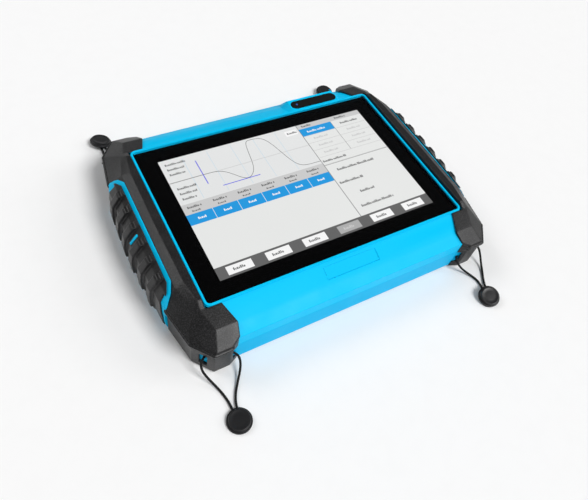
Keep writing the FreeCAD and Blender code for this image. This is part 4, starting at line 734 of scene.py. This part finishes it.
def trace_points():
    """The trace: flat, a shallow dip, a steep rise to a flat top, and a steep fall to a flat foot."""
    along = np.linspace(0, 0.655, 220)
    dip = 0.13 * np.exp(-(((along - 0.315) / 0.062) ** 2))
    rise = 1 / (1 + np.exp(-(along - 0.378) / 0.0065))
    fall = 1 / (1 + np.exp(-(along - 0.515) / 0.016))
    height = 0.205 + dip * (1 - rise) - 0.19 * rise * (1 - fall) + 0.17 * fall
    return along, np.clip(height, 0.012, 0.385)


def picture_mesh():
    """All rectangles and the trace as thin closed boxes, each point carrying its ink's colour."""
    boxes = np.array([(a, b, c, d, layer) for a, b, c, d, ink, layer in tiles])
    inks = [INK[entry[4]] for entry in tiles]
    across = (boxes[:, [0, 2, 2, 0]] - 0.5) * PICTURE[0]
    up = (0.5 - boxes[:, [1, 1, 3, 3]]) * PICTURE[1]
    top = PICTURE_LEVEL + LAYER * (boxes[:, 4] + 1)
    along, height = trace_points()
    slope_x, slope_y = np.gradient(along) * PICTURE[0], np.gradient(height) * PICTURE[1]
    norm = np.hypot(slope_x, slope_y)
    offset = np.c_[slope_y / norm, slope_x / norm] * TRACE_HALF
    line = np.c_[(along - 0.5) * PICTURE[0], (0.5 - height) * PICTURE[1]]
    a, b = line + offset, line - offset
    across = np.vstack([across, np.c_[a[:-1, 0], a[1:, 0], b[1:, 0], b[:-1, 0]]])
    up = np.vstack([up, np.c_[a[:-1, 1], a[1:, 1], b[1:, 1], b[:-1, 1]]])
    top = np.append(top, np.full(len(line) - 1, PICTURE_LEVEL + LAYER * TRACE_LAYER))
    inks += [INK["text"]] * (len(line) - 1)
    low = np.full_like(across, PICTURE_LEVEL + LAYER * 0.2)
    high = np.repeat(top[:, None], 4, axis=1)
    points = np.concatenate([np.stack([across, up, low], -1), np.stack([across, up, high], -1)], axis=1)
    sides = np.array([(0, 1, 2, 3), (7, 6, 5, 4), (0, 4, 5, 1), (1, 5, 6, 2), (2, 6, 7, 3), (3, 7, 4, 0)])
    faces = (np.arange(len(points))[:, None, None] * 8 + sides).reshape(-1, 4)
    mesh = bpy.data.meshes.new("picture")
    mesh.from_pydata(points.reshape(-1, 3), [], faces.tolist())
    colours = np.repeat(np.c_[np.array(inks), np.ones(len(inks))], 8, axis=0)
    layer = mesh.color_attributes.new("ink", "FLOAT_COLOR", "POINT")
    layer.data.foreach_set("color", colours.ravel())
    form = bmesh.new()
    form.from_mesh(mesh)
    bmesh.ops.recalc_face_normals(form, faces=form.faces)
    form.to_mesh(mesh)
    form.free()
    return mesh


def lit_picture():
    """The panel's light: the inks' colours, very slightly uneven, given out evenly."""
    material, tree = new_material("lit_picture")
    ink = add(tree, "ShaderNodeAttribute", attribute_name="ink")
    place = add(tree, "ShaderNodeTexCoord").outputs["Object"]
    uneven = add(tree, "ShaderNodeTexNoise", {"Vector": place, "Scale": 12.0})
    dimmer = add(tree, "ShaderNodeMapRange", {"Value": uneven.outputs["Fac"], "To Min": 0.94, "To Max": 1.0})
    shade = add(tree, "ShaderNodeVectorMath", {0: ink.outputs["Color"], 1: dimmer.outputs[0]},
                operation="MULTIPLY")
    principled(tree, Base_Color=(0.01, 0.01, 0.01, 1), Roughness=0.3, Emission_Color=shade.outputs[0],
               Emission_Strength=1.0)
    return material


picture = show("display_picture", picture_mesh())
picture.data.materials.append(lit_picture())


# ------------------------------------------------------------------------------------------------------
# Name plate and status light. A glossy black foil plate with round ends in the label pod, left blank, with
# a small lamp at one end.
plate_black = moulded("plate_black", (0.0012, 0.0012, 0.0014), (0.002, 0.002, 0.0022),
                      (0.01, 0.01, 0.01), 0.3, grain=(2200.0, 0.000004), edge_highlight=0.2)
dress("name_plate", plate_black)


def small_lamp():
    """A dim blue lamp lens whose colour and glow vary through a soft noise."""
    material, tree = new_material("small_lamp")
    place = add(tree, "ShaderNodeTexCoord").outputs["Object"]
    noise = add(tree, "ShaderNodeTexNoise", {"Vector": place, "Scale": 900.0})
    glow = add(tree, "ShaderNodeMix", {"Factor": noise.outputs["Fac"], "A": (0.01, 0.03, 0.12, 1),
                                      "B": (0.03, 0.10, 0.35, 1)}, data_type="RGBA")
    principled(tree, Base_Color=glow.outputs["Result"], Roughness=0.15, Emission_Color=glow.outputs["Result"],
               Emission_Strength=0.6)
    return material


dress("status_light", small_lamp())


# ------------------------------------------------------------------------------------------------------
# Rear wall. A black plate with two plated coaxial sockets, a hinged hatch over the data and charging
# sockets, and a round rubber-skinned power key in a bezel.
black_plastic = moulded("black_plastic", (0.010, 0.010, 0.011), (0.018, 0.018, 0.019),
                        (0.05, 0.05, 0.052), 0.45, grain=(1400.0, 0.00002))
plated = moulded("plated_metal", (0.72, 0.71, 0.69), (0.62, 0.61, 0.59), (0.85, 0.84, 0.82), 0.24,
                 grain=(2600.0, 0.000003), metallic=1.0, edge_highlight=0.5)
steel = moulded("zinc_steel", (0.52, 0.53, 0.55), (0.42, 0.43, 0.45), (0.7, 0.7, 0.72), 0.34,
                grain=(1800.0, 0.000006), metallic=1.0, edge_highlight=0.5)
dark_steel = moulded("black_steel", (0.02, 0.02, 0.022), (0.035, 0.035, 0.037), (0.2, 0.2, 0.2), 0.4,
                     grain=(1800.0, 0.00001), metallic=0.7, edge_highlight=0.5)
brass = moulded("turned_brass", (0.66, 0.47, 0.18), (0.55, 0.38, 0.14), (0.8, 0.62, 0.3), 0.3,
                grain=(1800.0, 0.000006), metallic=1.0, edge_highlight=0.4)
tinned = moulded("tinned_sheet", (0.6, 0.61, 0.62), (0.5, 0.51, 0.52), (0.75, 0.75, 0.76), 0.3,
                 grain=(900.0, 0.000008), metallic=1.0, edge_highlight=0.4)
for node in ("port_plate", "hatch_bracket", "key_bezel", "key_switch", "charge_socket", "speaker"):
    dress(node, black_plastic)
for node in ("test_port_left", "test_port_right"):
    dress(node, plated)
for node in ("port_hatch", "power_key"):
    dress(node, grip_rubber)
dress("hatch_pin", steel)


# ------------------------------------------------------------------------------------------------------
# Inside and underneath. The battery and its door, boards on turned brass posts, shield cans, the display's
# bracket, the housing gasket and all screws.
board_green = moulded("board_green", (0.01, 0.09, 0.03), (0.015, 0.13, 0.045), (0.1, 0.3, 0.1), 0.35,
                      grain=(600.0, 0.00001), coat=0.4, speckle=0.5)
battery_wrap = moulded("battery_wrap", (0.02, 0.02, 0.024), (0.03, 0.03, 0.034), (0.06, 0.06, 0.06), 0.3,
                       grain=(500.0, 0.00003), coat=0.2)
silicone = moulded("grey_silicone", (0.05, 0.05, 0.053), (0.07, 0.07, 0.073), (0.1, 0.1, 0.1), 0.6,
                   grain=(1500.0, 0.00002))
for material, nodes in (
    (board_green, ("main_board", "port_board")),
    (battery_wrap, ("battery_pack",)),
    (silicone, ("housing_gasket",)),
    (brass, ("board_standoffs", "port_board_posts")),
    (tinned, ("measuring_shield", "processor_shield", "display_bracket", "data_socket")),
    (steel, ("board_screws",)),
    (dark_steel, ("housing_screws", "battery_door_screws")),
    (black_plastic, ("battery_door",)),
):
    for node in nodes:
        dress(node, material)


# ------------------------------------------------------------------------------------------------------
# Floor and light. A plain pale floor, a pale sky and three large soft lamps. The sky lights the piece less
# than it shows itself, so that the facets of the rubber keep their difference.
FLOOR_HALF = 6.0
SKY_LIGHT = 0.26
LAMP_SPREAD = 24
LAMPS = (
    ("front", (0.30, -0.56, 0.78), 2.3),
    ("rear_left", (-0.52, 0.56, 0.65), 0.65),
    ("right", (0.80, -0.30, 0.52), 0.5),
)


def studio():
    """The floor as a wide sheet, an even sky, and broad lamps given by direction and strength."""
    ends = np.array([(-1, -1, 0), (1, -1, 0), (1, 1, 0), (-1, 1, 0)]) * FLOOR_HALF
    mesh = mesh_from("floor", ends, [(0, 1, 2, 3)], None)
    floor = bpy.data.objects.new("floor", mesh)
    bpy.context.collection.objects.link(floor)
    mesh.materials.append(moulded("floor_white", (0.92, 0.92, 0.92), (0.90, 0.90, 0.90),
                                  (0.92, 0.92, 0.92), 0.8, grain=(60.0, 0.00001), edge_highlight=0.0))
    world = bpy.data.worlds.new("sky")
    world.use_nodes = True
    tree = world.node_tree
    tree.nodes.clear()
    rays = add(tree, "ShaderNodeLightPath")
    power = add(tree, "ShaderNodeMapRange", {"Value": rays.outputs["Is Camera Ray"], "To Max": 1.0,
                                             "To Min": SKY_LIGHT})
    sky = add(tree, "ShaderNodeBackground", {"Color": (1, 1, 1, 1), "Strength": power.outputs[0]})
    output = add(tree, "ShaderNodeOutputWorld")
    tree.links.new(sky.outputs[0], output.inputs["Surface"])
    bpy.context.scene.world = world
    for name, (x, y, z), strength in LAMPS:
        light = bpy.data.lights.new(name, "SUN")
        light.angle = math.radians(LAMP_SPREAD)
        light.energy = strength
        lamp = bpy.data.objects.new(name, light)
        lamp.rotation_euler = (math.atan2(math.hypot(x, y), z), 0, math.atan2(y, x) + math.pi / 2)
        bpy.context.collection.objects.link(lamp)


studio()
